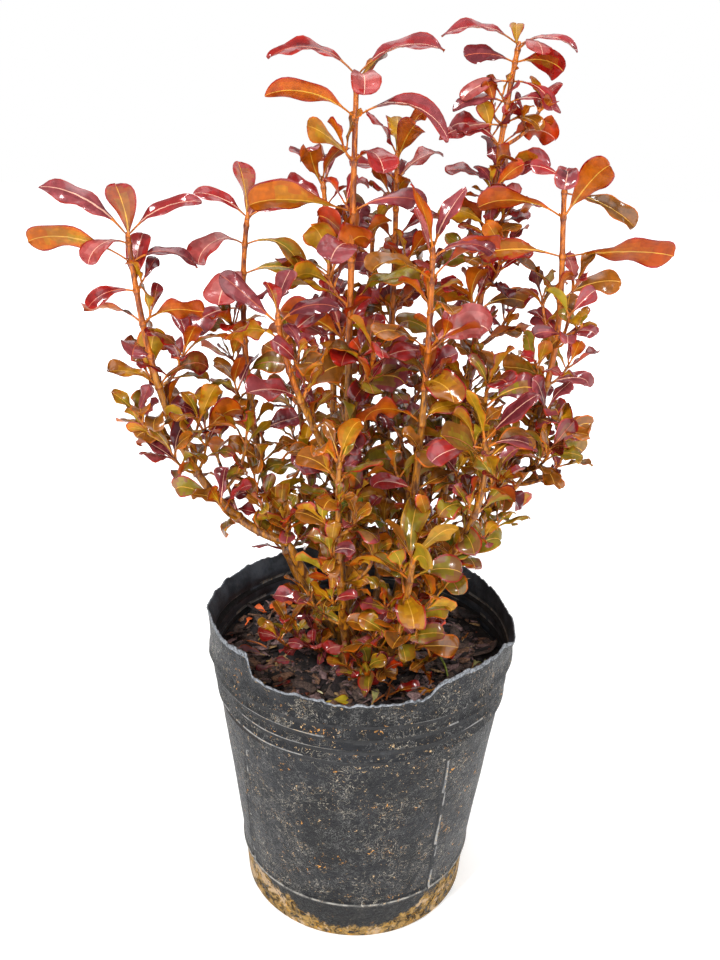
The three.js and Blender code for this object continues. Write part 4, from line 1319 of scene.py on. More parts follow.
def pot_point(angle, z, radius):
    """The place of a wall point, with the rim's tears, fray and dent."""
    around = on_round(RIM_RADIUS, angle, 0 * z)
    share = lip_share(z)
    lift = rim_lift(angle)
    frayed = sum(f["depth"] * lumps(around, f["size"], FRAY_SEED + i) for i, f in enumerate(FRAY))
    dent = DENT["depth"] * (1 - smoothstep(np.abs(angle - DENT["at"]), 0, DENT["half"]))
    radius = radius - share * (TEAR_LEAN * np.maximum(lift, 0) + dent)
    return on_round(radius, angle, z + share * lift + share**3 * frayed)


def pot_row(angles, z, radius=None, thick=0):
    """One row of the wall, at its own radius or as the plain wall goes, less a thickness."""
    level = np.full(len(angles), float(z))
    around = pot_radius(angles, level) if radius is None else np.full(len(angles), float(radius))
    return pot_point(angles, level, around - thick)


def make_pot():
    """The soft pot as one closed wall, outside, over the rim and down the inside."""
    angles = -180 + np.arange(POT_ROUND) * 360 / POT_ROUND
    outside = [*np.arange(1, POT_HEIGHT - POT_LAST_GAP, POT_ROW), POT_HEIGHT]
    inside = [
        *np.arange(POT_HEIGHT, MIX_TOP - POT_HIDDEN["from"], -POT_ROW),
        *np.linspace(MIX_TOP - POT_HIDDEN["to"], FLOOR, POT_HIDDEN["rows"]),
    ]
    thick = lerp(WALL, RIM_EDGE, smoothstep(inside, LIP_FOOT, POT_HEIGHT))
    rows = [pot_row(angles, z, BASE_RADIUS - inset) for inset, z in UNDERSIDE]
    rows += [pot_row(angles, z) for z in outside]
    rows += [pot_row(angles, z, thick=t) for z, t in zip(inside, thick)]
    levels = [0] * len(UNDERSIDE) + outside + inside
    kinds = pot_kinds(angles, levels)[1:]
    # The inside wall takes a paler finish, painted light for the shade inside the pot.
    inner = kinds[-len(inside) :]
    inner[inner == POT_KINDS["wall"]] = POT_KINDS["inside"]
    middles = ((0, 0, UNDERSIDE[0][1]), (0, 0, FLOOR))
    shape = Shape()
    shape.add_closed(np.array(rows), middles, kinds.ravel(), ends=(POT_KINDS["wall"],) * 2)
    dress(shape.build("pot_shell", pot_finishes()), ["pot"])


def pot_finishes():
    """Soft black plastic: its wall, the folds worn pale with a painted highlight, the torn rim, the
    grooves in painted shade and the inside painted lighter.
    """
    made = [pot_wall_finish()]
    for kind, tones in POT_TONES.items():
        specks = WORN_SPECKS if kind == "worn_and_sheen" else ()
        made.append(plain_finish("pot_" + kind, tones, kind, specks))
    return made


def pot_wall_finish():
    """Soft black plastic, dusty and scuffed, with dried mud round its foot."""
    finish = Finish("pot_plastic")
    fine = finish.noise(*WALL_FINE)
    colour = pot_scuffs(finish, fine)
    colour = pot_specks(finish, colour)
    colour = pot_ring(finish, colour)
    mud, colour = pot_mud(finish, colour)
    finish.set("Base Color", colour)
    finish.set("Specular IOR Level", WALL_GLOSS["specular"])
    # The plastic's own roughness, which follows its fine scratches.
    worn_and_sheen = finish.between(fine, *WALL_GLOSS["roughness"])
    finish.set("Roughness", finish.math("MAXIMUM", worn_and_sheen, finish.times(mud, WALL_GLOSS["mud"])))
    small, large, crust = (finish.noise(*WALL_RELIEF[key]) for key in ("fine", "lumps", "mud"))
    relief = finish.math("ADD", finish.math("ADD", small, large), finish.times(mud, crust))
    finish.bump(relief, WALL_RELIEF["depth"])
    return finish.material


def pot_scuffs(finish, fine):
    """Near-black plastic under clouds of dust and a tangle of fine scratches."""
    plain = finish.mix(finish.patches(*WALL_GRAINS["broad"]), *WALL_TONES["plain"])
    clouds = finish.patches(*WALL_GRAINS["clouds"])
    dust = finish.times(clouds, finish.between(fine, *WALL_SHARES["dust"]))
    colour = finish.mix(dust, plain, WALL_TONES["dust"])
    for size, thin, strength, tone in STROKES:
        off = finish.away(finish.noise(size, *STROKE_NOISE), 0.5)
        wide = (STROKE_PATCHES["wider"] * size, *STROKE_PATCHES["noise"])
        patch = finish.patches(wide, *STROKE_PATCHES["bounds"])
        line = finish.times(finish.between(off, 0, thin, 1, 0), patch)
        colour = finish.mix(finish.times(line, strength), colour, tone)
    return colour


def pot_specks(finish, colour):
    """Grains and flakes of dry, orange-brown peat that stuck to the wall."""
    for size, patches, rarity, tone in PEAT:
        flakes = finish.patches((size, *PEAT_FLAKES["noise"]), *PEAT_FLAKES["bounds"])
        wide = (patches, *PEAT_PATCHES["noise"])
        near = finish.patches(wide, rarity, rarity + PEAT_PATCHES["soft"])
        colour = finish.mix(finish.times(flakes, near), colour, tone)
    return colour


def pot_ring(finish, colour):
    """The pale line of the ring, and the darker band of wall below it."""
    height = finish.height()
    off = finish.away(height, RING_HEIGHT + RING_LINE["above"])
    broken = finish.patches(*WALL_GRAINS["ring"])
    line = finish.times(finish.between(off, *RING_LINE["soft"]), broken)
    ringed = finish.mix(line, colour, WALL_TONES["ring"])
    low, high = (RING_HEIGHT - drop for drop in RING_LINE["band"])
    below = finish.times(finish.between(height, low, high, 1, 0), WALL_SHARES["below_ring"])
    return finish.mix(below, ringed, WALL_TONES["below_ring"])


def pot_mud(finish, colour):
    """Dried mud round the foot, higher at the sides, and the colour with it."""
    sideways = finish.between(finish.away(finish.axis("X"), 0), *MUD["sideways"])
    edge = finish.math("ADD", finish.times(finish.noise(*MUD["grain"]), MUD["ragged"]), sideways)
    mud = finish.between(finish.math("SUBTRACT", finish.height(), edge), *MUD["soft"], 1, 0)
    caked = finish.mix(finish.patches(*WALL_GRAINS["mud"]), *WALL_TONES["mud"])
    for kind in ("chalk", "rust"):
        bits = finish.times(finish.patches(*WALL_GRAINS[kind]), WALL_SHARES[kind])
        caked = finish.mix(bits, caked, WALL_TONES[kind])
    share = finish.times(mud, finish.patches(*WALL_GRAINS["bare"]))
    return share, finish.mix(share, colour, caked)


# Potting mix and litter

# How far the finer lumps of the mix stand up, how far it rises to the wall, and how its crumbs
# and shards of bark are strewn: how many, their sizes, how rare the large ones are, and how often
# each tone falls.
MIX_CRUMBS = ({"size": 14, "depth": 1.4}, {"size": 5, "depth": 0.9}, {"size": 1.9, "depth": 0.5})
MIX_CRUMB_SEED = 20
MIX_LEVEL = 0.2
MIX_EDGE = {"rise": 1.6, "from": 62, "to": 73}
MIX_GRID = {"rings": 90, "sides": 220, "first": 0.6, "foot": 0.995}
CHIPS = {"count": 1500, "size": (0.7, 2.4), "favour_small": 2.0, "seed": 3}
SHARDS = {"count": 2000, "size": (1.4, 8.0), "favour_small": 1.9, "seed": 4}
STREWN = {"inside": 2.5, "tilt": 0.4, "lift": 0.12}
# A crumb's proportions, and how near two of its corners lie that share an edge, in edges. Then
# a shard's corners, how uneven they are, its proportions, bend and thickness, how much wider it
# is below, and how its middle stands up.
CRUMB_SHAPE = {"wide": (0.5, 0.9), "high": (0.3, 0.7), "uneven": (0.6, 1.15)}
CRUMB_REACH = 1.1
SHARD_SHAPE = {
    "corners": (5, 8),
    "uneven": 0.8,
    "reach": (0.6, 1.1),
    "wide": (0.25, 0.65),
    "bend": (-0.12, 0.16),
    "thick": (0.25, 0.7),
    "below": 1.04,
    "peak": (-0.1, 0.3),
}
CHIP_ODDS = {"chip_black": 40, "chip_dark": 30, "chip_brown": 18, "chip_red": 7, "grit": 2}
SHARD_ODDS = {"chip_black": 30, "chip_dark": 30, "chip_purple": 20, "chip_brown": 16, "chip_tan": 4}


def mix_height(x, y):
    """The height of the potting mix."""
    from_crown = np.hypot(x - CROWN["x"], y - CROWN["y"])
    waves = sum(np.sin(x * a + y * b + start) for a, b, start in MIX_WAVES)
    near, far = CROWN["radius"] + FLAT_MIX, CROWN["radius"] + LUMPY_MIX
    height = MIX_TOP + MIX_LUMP * waves * smoothstep(from_crown, near, far)
    spots = np.stack([x, y, np.zeros_like(x)], -1)
    for i, grain in enumerate(MIX_CRUMBS):
        lump = lumps(spots, grain["size"], MIX_CRUMB_SEED + i)
        height = height + grain["depth"] * (lump - MIX_LEVEL)
    return height + MIX_EDGE["rise"] * smoothstep(np.hypot(x, y), MIX_EDGE["from"], MIX_EDGE["to"])


def mix_height_at(x, y):
    """The height of the potting mix at one place, as a plain number."""
    return float(mix_height(np.array(float(x)), np.array(float(y))))


def make_mix():
    """The top of the potting mix with crumbs and shards of bark strewn on it."""
    rings = np.linspace(MIX_GRID["first"], MIX_RADIUS, MIX_GRID["rings"])[:, None]
    angles = ring_angles(MIX_GRID["sides"])
    x, y = rings * np.cos(angles), rings * np.sin(angles)
    top = np.stack([x, y, mix_height(x, y)], -1)
    low_height = MIX_TOP - MIX_DEEP
    low = top[-1] * (MIX_GRID["foot"], MIX_GRID["foot"], 0) + (0, 0, low_height)
    middles = ((0, 0, mix_height_at(0, 0)), (0, 0, low_height))
    shape = Shape()
    shape.add_closed(np.concatenate([top, low[None]]), middles, outward=False)
    strew(shape, CHIPS, CHIP_ODDS, crumb)
    strew(shape, SHARDS, SHARD_ODDS, shard)
    dress(shape.build("mix_surface", mix_finishes()), ["potting_mix"])


def strew(shape, amount, odds, make):
    """Strews pieces of one kind over the mix, half sunk in it."""
    own = np.random.default_rng(amount["seed"])
    names = list(MIX_TONES)
    weights = np.array(list(odds.values())) / sum(odds.values())
    for _ in range(amount["count"]):
        angle = own.uniform(0, TAU)
        radius = (MIX_RADIUS - STREWN["inside"]) * math.sqrt(own.uniform(0, 1))
        x, y = radius * math.cos(angle), radius * math.sin(angle)
        size = lerp(*amount["size"], own.uniform() ** amount["favour_small"])
        points, faces = make(size, own)
        spin = Matrix.Rotation(own.uniform(0, TAU), 3, "Z")
        tilt = Matrix.Rotation(own.normal(0, STREWN["tilt"]), 3, "X")
        tone = names.index(own.choice(list(odds), p=weights))
        middle = (x, y, mix_height_at(x, y) + STREWN["lift"] * size)
        points = points @ np.array(spin @ tilt).T + middle
        shape.add(points, *((some, tone) for some in faces))


def crumb(size, own):
    """An angular crumb."""
    corners, faces = CRUMB
    wide, high = (own.uniform(*CRUMB_SHAPE[key]) for key in ("wide", "high"))
    uneven = own.uniform(*CRUMB_SHAPE["uneven"], (len(corners), 1))
    return corners * uneven * (size * np.array([1, wide, high])), [faces]


def shard(size, own):
    """A thin, bent shard of bark with a ragged outline."""
    count = own.integers(*SHARD_SHAPE["corners"])
    angles = own.uniform(0, SHARD_SHAPE["uneven"], count) + np.arange(count)
    angles = np.sort(angles) * TAU / count
    reach = size * own.uniform(*SHARD_SHAPE["reach"], count)
    x = reach * np.cos(angles)
    y = reach * np.sin(angles) * own.uniform(*SHARD_SHAPE["wide"])
    bend = own.uniform(*SHARD_SHAPE["bend"]) * x**2 / size
    half = own.uniform(*SHARD_SHAPE["thick"]) / 2
    below = SHARD_SHAPE["below"]
    top = np.stack([x, y, bend + half], -1)
    bottom = np.stack([x * below, y * below, bend - half], -1)
    middle = [[0, 0, half + own.uniform(*SHARD_SHAPE["peak"])], [0, 0, -half]]
    ring = np.arange(count)
    after = np.roll(ring, -1)
    walls = np.stack([ring + count, after + count, after, ring], -1)
    caps = (fan_faces(ring, 2 * count, True), fan_faces(ring + count, 2 * count + 1, False))
    return np.concatenate([top, bottom, middle]), [np.concatenate(caps), walls]


def icosahedron():
    """The twelve corners and twenty faces of an icosahedron."""
    golden = (1 + math.sqrt(5)) / 2
    pairs = [(a, b * golden) for a in (-1, 1) for b in (-1, 1)]
    corners = [(0, a, b) for a, b in pairs] + [(a, b, 0) for a, b in pairs]
    corners = unit(np.array(corners + [(b, 0, a) for a, b in pairs], float))
    near = CRUMB_REACH * min(np.linalg.norm(corners[0] - c) for c in corners[1:])
    faces = []
    for i, j, k in ((i, j, k) for i in range(12) for j in range(i) for k in range(j)):
        a, b, c = corners[[i, j, k]]
        if max(np.linalg.norm(a - b), np.linalg.norm(b - c), np.linalg.norm(c - a)) > near:
            continue
        outward = np.cross(b - a, c - a).dot(a) > 0
        faces.append((i, j, k) if outward else (i, k, j))
    return corners, np.array(faces)


CRUMB = icosahedron()


# Leaves

# The spans that a leaf's looks are drawn from, in the order of the draws: its outline, fold and
# waves, the angles that its tip may be hooked by, and how it sways and twists and how far its
# tones shift. The fold, the hooks and the twist are in degrees.
OUTLINE = {
    "width": (0.35, 0.56),
    "shoulder": (1.25, 2.0),
    "blunt": (0.42, 0.62),
    "fold": (-4, 32),
    "cup": (-0.42, 0.26),
    "wave": (0.02, 0.1),
    "wave_turns": (1.3, 2.8),
}
HOOKS = (0, -10, -24, -42, -60, 24)
SHIFTS = {"sway": (-0.07, 0.07), "twist": (-35, 35), "tone": (-1, 1)}
# How often a leaf takes its margin tone, a coloured rim that is partly a painted rim light.
EDGED_ODDS = 0.75
# How a blade bends: where its tip begins to hook and how sharply, how often it sways, and the
# rows between which its roll, its fold and its waves and veins set in.
HOOK = {"from": 0.72, "power": 1.5}
SWAY_TURNS = 1.3
ROLL_ROWS = (0.02, 0.4)
FOLD_ROWS = (0.1, 0.4)
WAVE_ROWS = (0.15, 0.45)
# Half the width of its stalk, by the leaf's length, and of its rib, as a share of its own.
STALK = {"half": 0.48, "length": 24, "range": (0.55, 1.15), "fades": (0.3, 0.95), "least": 0.12}
RIB = {"half": 0.42, "length": 30, "taper": 1.12, "range": (0.03, 0.3), "on_stalk": 0.3}
# How thick it is near its middle and its edge, and how much thicker its stalk is below.
THICK = {"middle": 0.16, "edge": 0.1, "stalk": 0.42, "stalk_fades": (0.1, 0.9)}


def leaf_looks(leaf, own):
    """A leaf's own outline, fold, waves and tones, but for those it already has."""
    looks = {key: own.uniform(*span) for key, span in OUTLINE.items()}
    looks["phases"] = (own.uniform(0, TAU), own.uniform(0, TAU))
    looks["hook"] = math.radians(own.choice(HOOKS))
    looks |= {key: own.uniform(*span) for key, span in SHIFTS.items()}
    looks |= {key: math.radians(looks[key]) for key in ("fold", "twist")}
    looks["tone"] *= TONE_STEPS["by_leaf"]
    looks["edged"] = own.random() < EDGED_ODDS
    odds = next(odds for above, odds in SCHEME_ODDS if leaf["root"][2] >= above).split()
    looks["scheme"] = own.choices(odds[::2], [int(weight) for weight in odds[1::2]])[0]
    return looks | leaf


def columns(leaves, *keys):
    """The values of all leaves for each key, with an axis for the rows."""
    return [np.array([leaf[key] for leaf in leaves], float)[:, None] for key in keys]


def blade_frame(leaves, rows):
    """The spine of each leaf, and the directions across it and out of its upper face."""
    root, out, up, length = columns(leaves, "root", "out", "up", "length")
    angles, hook, sway, twist = columns(leaves, "angles", "hook", "sway", "twist")
    root_angle, tip_angle, roll = np.moveaxis(angles, -1, 0)
    hooked = np.clip((rows - HOOK["from"]) / (1 - HOOK["from"]), 0, 1) ** HOOK["power"]
    angle = root_angle + (tip_angle - root_angle) * rows + hook * hooked
    middle = (angle[:, 1:] + angle[:, :-1]) / 2
    step = np.diff(rows) * length
    zero = np.zeros((len(leaves), 1))
    run, rise = (
        np.concatenate([zero, np.cumsum(step * share, 1)], 1)[..., None]
        for share in (np.cos(middle), np.sin(middle))
    )
    across = np.cross(up, out)
    aside = sway * length * np.sin(rows * math.pi * SWAY_TURNS)
    spine = root + out * run + up * rise + across * aside[..., None]
    slope = angle[..., None]
    face = up * np.cos(slope) - out * np.sin(slope)
    rolled = (roll * smoothstep(rows, *ROLL_ROWS) + twist * rows)[..., None]
    wide = across * np.cos(rolled) + face * np.sin(rolled)
    thin = face * np.cos(rolled) - across * np.sin(rolled)
    return [directions[:, :, None] for directions in (spine, wide, thin)]


def half_widths(leaves, rows):
    """Half the width of each leaf at each row, and no less than its stalk's."""
    length, width, first, last = columns(leaves, "length", "width", "shoulder", "blunt")
    start = np.clip((rows - BLADE_START) / (1 - BLADE_START), 1e-6, 1 - 1e-6)
    peak = first / (first + last)
    blade = (start / peak) ** first * ((1 - start) / (1 - peak)) ** last
    stalk = STALK["half"] * np.clip(length / STALK["length"], *STALK["range"])
    stalk = stalk * (1 - smoothstep(rows, *STALK["fades"]))
    return np.maximum(0.5 * width * length * blade, stalk) + STALK["least"]


def strip_shares(leaves, rows, strips, half):
    """How far to the edge each vertex lies, with the rib as wide as the leaf's length asks."""
    (length,) = columns(leaves, "length")
    shares = np.broadcast_to(np.array(strips, float), (*half.shape, len(strips))).copy()
    rib = RIB["half"] * length * (RIB["taper"] - rows) / RIB["length"] / half
    rib = np.where(rows < PETIOLE_END, RIB["on_stalk"], np.clip(rib, *RIB["range"]))
    middle = len(strips) // 2
    shares[..., middle - 1] = -rib
    shares[..., middle] = rib
    return shares


def relief_of(leaves, rows, shares, half):
    """How far aside and how far up each vertex is, by the fold, the cup, the waves and veins."""
    keys = ("length", "fold", "cup", "wave", "wave_turns", "phases")
    length, fold, cup, wave, turns, phases = (v[..., None] for v in columns(leaves, *keys))
    row = rows[:, None]
    half = half[..., None]
    size = np.abs(shares)
    phase = np.where(shares < 0, phases[:, :, 0], phases[:, :, 1])
    fold = fold * smoothstep(row, *FOLD_ROWS)
    lifted = size * half * np.sin(fold) + cup * size**2 * half
    waves = wave * length * np.sin(turns * row * TAU + phase) * size**2
    vein = np.cos(TAU * VEINS["pairs"] * (row - VEINS["lean"] * size))
    furrow = VEINS["depth"] * length * vein * 4 * size * (1 - size)
    lifted = lifted + (waves + furrow) * smoothstep(row, *WAVE_ROWS)
    return shares * half * np.cos(fold), lifted


def blade_points(leaves, rows, strips):
    """Upper and lower surface of each leaf as (leaf, row, strip, xyz) arrays."""
    rows = np.array(rows)
    spine, wide, thin = blade_frame(leaves, rows)
    half = half_widths(leaves, rows)
    shares = strip_shares(leaves, rows, strips, half)
    aside, lifted = relief_of(leaves, rows, shares, half)
    surface = spine + wide * aside[..., None] + thin * lifted[..., None]
    is_middle = np.abs(shares) < 0.5
    blade = np.where(is_middle, THICK["middle"], THICK["edge"])
    stalk = THICK["stalk"] * (1 - smoothstep(rows, *THICK["stalk_fades"]))[:, None] * is_middle
    upper = surface + thin * blade[..., None]
    lower = surface - thin * (blade + stalk)[..., None]
    return upper, lower


def leaf_faces(rows, strips):
    """One leaf's faces and rim vertices, and the place and part of each of its faces."""
    row_count, strip_count = len(rows), len(strips)
    top = np.arange(row_count * strip_count).reshape(row_count, strip_count)
    inner = (row_count - 2) * (strip_count - 2)
    bottom = top.copy()
    bottom[1:-1, 1:-1] = row_count * strip_count + np.arange(inner).reshape(row_count - 2, -1)
    faces, places, parts = [], [], []
    for i in range(row_count - 1):
        share = (rows[i] + rows[i + 1]) / 2
        for j in range(strip_count - 1):
            corners = (i, j), (i + 1, j), (i + 1, j + 1), (i, j + 1)
            faces.append([top[c] for c in corners])
            faces.append([bottom[corners[k]] for k in (0, 3, 2, 1)])
            outward = abs(strips[j] + strips[j + 1]) / 2
            place = TONE_STEPS["out"] * outward + TONE_STEPS["up"] * share
            places += 2 * [max(place, share**2)]
            parts += leaf_parts(share, j, strip_count // 2 - 1)
    rim = np.zeros(row_count * strip_count + inner, bool)
    rim[np.concatenate([top[0], top[-1], top[:, 0], top[:, -1]])] = True
    return np.array(faces), rim, np.array(places), np.array(parts)


def leaf_parts(share, strip, rib):
    """The part of a leaf that its upper and lower face at a place belong to."""
    if share < PETIOLE_END:
        return [PARTS["stalk"]] * 2
    if strip == rib:
        return [PARTS["rib_top"], PARTS["rib_under"]]
    if strip in (0, 2 * rib):
        return [PARTS["margin"]] * 2
    return [PARTS["top"], PARTS["under"]]


def leaf_kinds(leaves, places, parts, tones, own):
    """The tone of every face of every leaf, shading unevenly from the rib to the edge."""
    lists, order = tones
    rows = np.array([[order.index(tone) for tone in lists[leaf["scheme"]]] for leaf in leaves])
    size = (len(leaves), len(parts))
    offset, edged = columns(leaves, "tone", "edged")
    place = places[None] + offset + TONE_STEPS["ragged"] * own.uniform(-1, 1, size)
    step = (place > TONE_STEPS["mid"]).astype(int) + (place > TONE_STEPS["edge"])
    # Leaves that are not edged keep their blade's tone at the margin; the others take the margin
    # tone, partly a painted rim light.
    plain_part = np.where(np.arange(len(parts)) % 2 == 1, PARTS["under"], PARTS["top"])
    part = np.where((edged == 0) & (parts == PARTS["margin"]), plain_part, parts)
    is_blade = (part == PARTS["top"]) | (part == PARTS["under"])
    part = np.where(is_blade, part + step, part)
    return np.take_along_axis(rows, part, axis=1).ravel()


def add_leaves(shape, leaves, rows, strips, tones, own):
    """Builds leaves of one resolution into a shape."""
    if not leaves:
        return
    upper, lower = blade_points(leaves, rows, strips)
    count = len(leaves)
    inner = lower[:, 1:-1, 1:-1].reshape(count, -1, 3)
    joined = (upper + lower) / 2
    joined[:, 1:-1, 1:-1] = upper[:, 1:-1, 1:-1]
    points = np.concatenate([joined.reshape(count, -1, 3), inner], 1)
    faces, rim, places, parts = leaf_faces(rows, strips)
    starts = np.arange(count) * points.shape[1]
    all_faces = (faces[None] + starts[:, None, None]).reshape(-1, 4)
    kinds = leaf_kinds(leaves, places, parts, tones, own)
    shape.add(points, (all_faces, kinds), rim=np.tile(rim, count))


def leaf_piece(name, leaves, tones, finishes):
    """One mesh of leaves, the longest in the finest grid."""
    shape = Shape()
    own = np.random.default_rng(len(leaves))
    longest = math.inf
    for shortest, rows, strips in LEAF_GRIDS:
        some = [leaf for leaf in leaves if shortest <= leaf["length"] < longest]
        add_leaves(shape, some, rows, strips, tones, own)
        longest = shortest
    return shape.build(name, finishes, has_rims=True)


def make_leaves(masses, tones, finishes):
    """The leaves of each group of masses as one mesh."""
    for group, names in LEAF_GROUPS.items():
        own = random.Random(group)
        leaves = [leaf_looks(leaf, own) for name in names for leaf in masses[name]["leaves"]]
        piece = leaf_piece(group, leaves, tones, finishes)
        dress(piece, ["shoot_" + name for name in names])


# Litter on the mix: fallen leaves as place, direction, length, curl and scheme, straws and
# sticks as both ends, radius and tone.
FALLEN = (
    (-41, -6, 0, 19, 22, "dead_purple"),
    (-56, -2, 160, 14, -20, "dead_purple"),
    (-47, -14, 200, 12, 30, "dead_purple"),
    (-48, 46, 20, 15, 30, "petal"),
    (-52, 41, 60, 11, -30, "petal"),
    (-62, 29, 80, 10, 40, "petal"),
    (-44, 49, -20, 11, 50, "petal"),
    (-56, 38, 140, 9, -40, "petal"),
    (-53, 16, 70, 9, 20, "yellow"),
    (-30, 24, 10, 13, 20, "tan"),
    (-5, 28, 150, 8, 10, "yellow"),
    (-13, -4, 175, 11, 10, "green"),
    (60, -8, 60, 13, 6, "dry"),
    (22, -33, 20, 16, 40, "fiery"),
    (33, -33, 200, 10, -30, "bronze"),
    (7, -40, 80, 13, 30, "dry"),
    (-12, -43, 10, 15, 30, "yellow"),
    (-38, -30, 30, 9, 20, "scarlet"),
    (44, 34, 110, 13, 20, "dead_purple"),
    (30, 50, 200, 14, 30, "tan"),
    (-14, 58, 40, 14, -20, "dead_purple"),
    (56, 22, 240, 11, 20, "bronze"),
    (-27, -47, 160, 10, 20, "dead_purple"),
    (38, -46, 70, 9, 20, "dead_purple"),
)

STRAWS = (
    ((2.5, -18), (17.5, -1), 1.5, "straw_pale"),
    ((-2, -21), (3.5, -17), 1.3, "straw_pale"),
    ((13, -38), (15, -26), 0.45, "straw_orange"),
    ((14, -26), (19, -15), 0.4, "straw_orange"),
    ((7, -42), (12, -36), 0.45, "straw_orange"),
    ((18, -30), (11, -22), 0.4, "straw_orange"),
    ((44, -26), (40, 0), 0.55, "straw_green"),
    ((45, -26), (53, -16), 0.5, "straw_orange"),
    ((-48, 24), (-31, 27), 0.4, "straw_pale"),
    ((-40, 34), (-30, 20), 0.35, "straw_pale"),
    ((-60, 8), (-49, 2), 0.4, "straw_orange"),
    ((-27, -28), (-18, -33), 0.4, "straw_pale"),
    ((26, 44), (38, 52), 0.45, "straw_pale"),
    ((-20, 50), (-4, 60), 0.5, "straw_orange"),
    ((52, 6), (62, 14), 0.4, "straw_pale"),
)
STONES = ((40, 44, 4.6), (-18, 33, 3.4), (16, 36, 3.2), (-33, 2, 1.4), (30, -20, 1.6))
STONE_LIFT = 0.3
# How high fallen leaves lie, the most that they roll to a side, and a straw's vertices, bend,
# lift and relief, and how far apart its lumps are looked up.
FALLEN_LIFT = 1.6
FALLEN_ROLL = 18
STRAW = {
    "rows": 12,
    "sides": 10,
    "bend": 0.08,
    "sideways": 0.4,
    "lift": 0.7,
    "relief": 0.12,
    "apart": 9,
}
LITTER_SEEDS = {"leaves": 8, "stones": 12, "straws": 1, "relief": 5}


def fallen_leaf(own, x, y, direction, length, curl, scheme):
    """A leaf that lies on the mix."""
    angle = math.radians(direction)
    out = np.array([math.cos(angle), math.sin(angle), 0])
    root = np.array([x, y, mix_height_at(x, y) + FALLEN_LIFT]) - out * length / 2
    roll = own.uniform(-FALLEN_ROLL, FALLEN_ROLL)
    angles = [math.radians(a) for a in (curl / 2, -curl / 2, roll)]
    leaf = {"root": root, "out": out, "up": np.array([0.0, 0, 1]), "length": length}
    return leaf_looks(leaf | {"angles": angles, "scheme": scheme}, own)


def add_straw(shape, start, end, radius, kind):
    """A straw or a stick, slightly bent."""
    rows, sides = STRAW["rows"], STRAW["sides"]
    share = np.linspace(0, 1, rows)
    x, y = lerp(start[0], end[0], share), lerp(start[1], end[1], share)
    bend = STRAW["bend"] * math.hypot(end[0] - start[0], end[1] - start[1])
    bend = bend * np.sin(share * math.pi)
    height = mix_height(x, y).max() + radius * STRAW["lift"] + bend
    aside = STRAW["sideways"] * bend
    spots = np.stack([x + aside, y - aside, height], -1)
    own = np.random.default_rng(LITTER_SEEDS["straws"])
    places = own.uniform(0, STRAW["apart"], (rows, sides, 3))
    relief = STRAW["relief"] * radius * lumps(places, 1, LITTER_SEEDS["relief"])
    tube(shape, spots, np.full(rows, radius), sides, kind, relief)


def make_litter(tones, finishes):
    """Fallen leaves and petals, straws, sticks and small stones on the mix."""
    own = random.Random(LITTER_SEEDS["leaves"])
    leaves = [fallen_leaf(own, *values) for values in FALLEN]
    dress(leaf_piece("fallen_leaves", leaves, tones, finishes), [])
    shape = Shape()
    names = list(STRAW_TONES)
    for start, end, radius, tone in STRAWS:
        add_straw(shape, start, end, radius, names.index(tone))
    crumbs = np.random.default_rng(LITTER_SEEDS["stones"])
    for x, y, size in STONES:
        points, faces = crumb(size, crumbs)
        middle = (x, y, mix_height_at(x, y) + STONE_LIFT * size)
        shape.add(points + middle, *((some, names.index("stone")) for some in faces))
    litter = shape.build("straws_and_stones", plain_finishes(STRAW_TONES, "litter"))
    dress(litter, [])


# Wood


def node_swelling(u, nodes, length):
    """How much each point of a limb is swollen by the pairs of leaves near it."""
    if not nodes:
        return np.zeros_like(u)
    near = np.min(np.abs(u[:, None] - np.array(nodes)[None, :]), axis=1) * length
    return bell(near, NODE_SWELL["half"])


def bark_kinds(spots, nodes, length, seed):
    """The finish at each row of a limb, by its height, and the ring below each pair of leaves."""
    height = spots[:, 2] + BARK_WAVER["by"] * lumps(spots, BARK_WAVER["size"], seed + 5)
    kinds = np.where(height < OLD_WOOD, 0, np.where(height < YOUNG_WOOD, 1, 2))
    last = len(spots) - 1
    rings = np.array([round((u - RING_BELOW / length) * last) for u in nodes], int)
    kinds[rings[(rings > 0) & (rings <= last)]] = 3
    return kinds


def add_limb(shape, curve, nodes, radii, sides, row, seed, bark=1.0):
    """A limb with swollen, ringed nodes and the relief of bark."""
    u = np.linspace(0, 1, max(4, int(curve.length / row)))
    spots = curve.point(u)
    swollen = node_swelling(u, nodes, curve.length)
    radius = lerp(*radii, u) * (1 + NODE_SWELL["share"] * swollen)
    tip = smoothstep(u * curve.length, curve.length - LIMB_TIP["length"], curve.length)
    radius = radius * (1 - LIMB_TIP["taper"] * tip)
    angles = ring_angles(sides)
    across = BARK_RELIEF["across"]
    along = (u * curve.length / BARK_RELIEF["along"])[:, None]
    around = np.broadcast_arrays(across * np.cos(angles), across * np.sin(angles), along)
    depth = lerp(BARK_RELIEF["foot"], BARK_RELIEF["tip"], u)[:, None] * bark
    relief = depth * lumps(np.stack(around, -1), 1, seed, octaves=2)
    tube(shape, spots, radius, sides, bark_kinds(spots, nodes, curve.length, seed), relief)


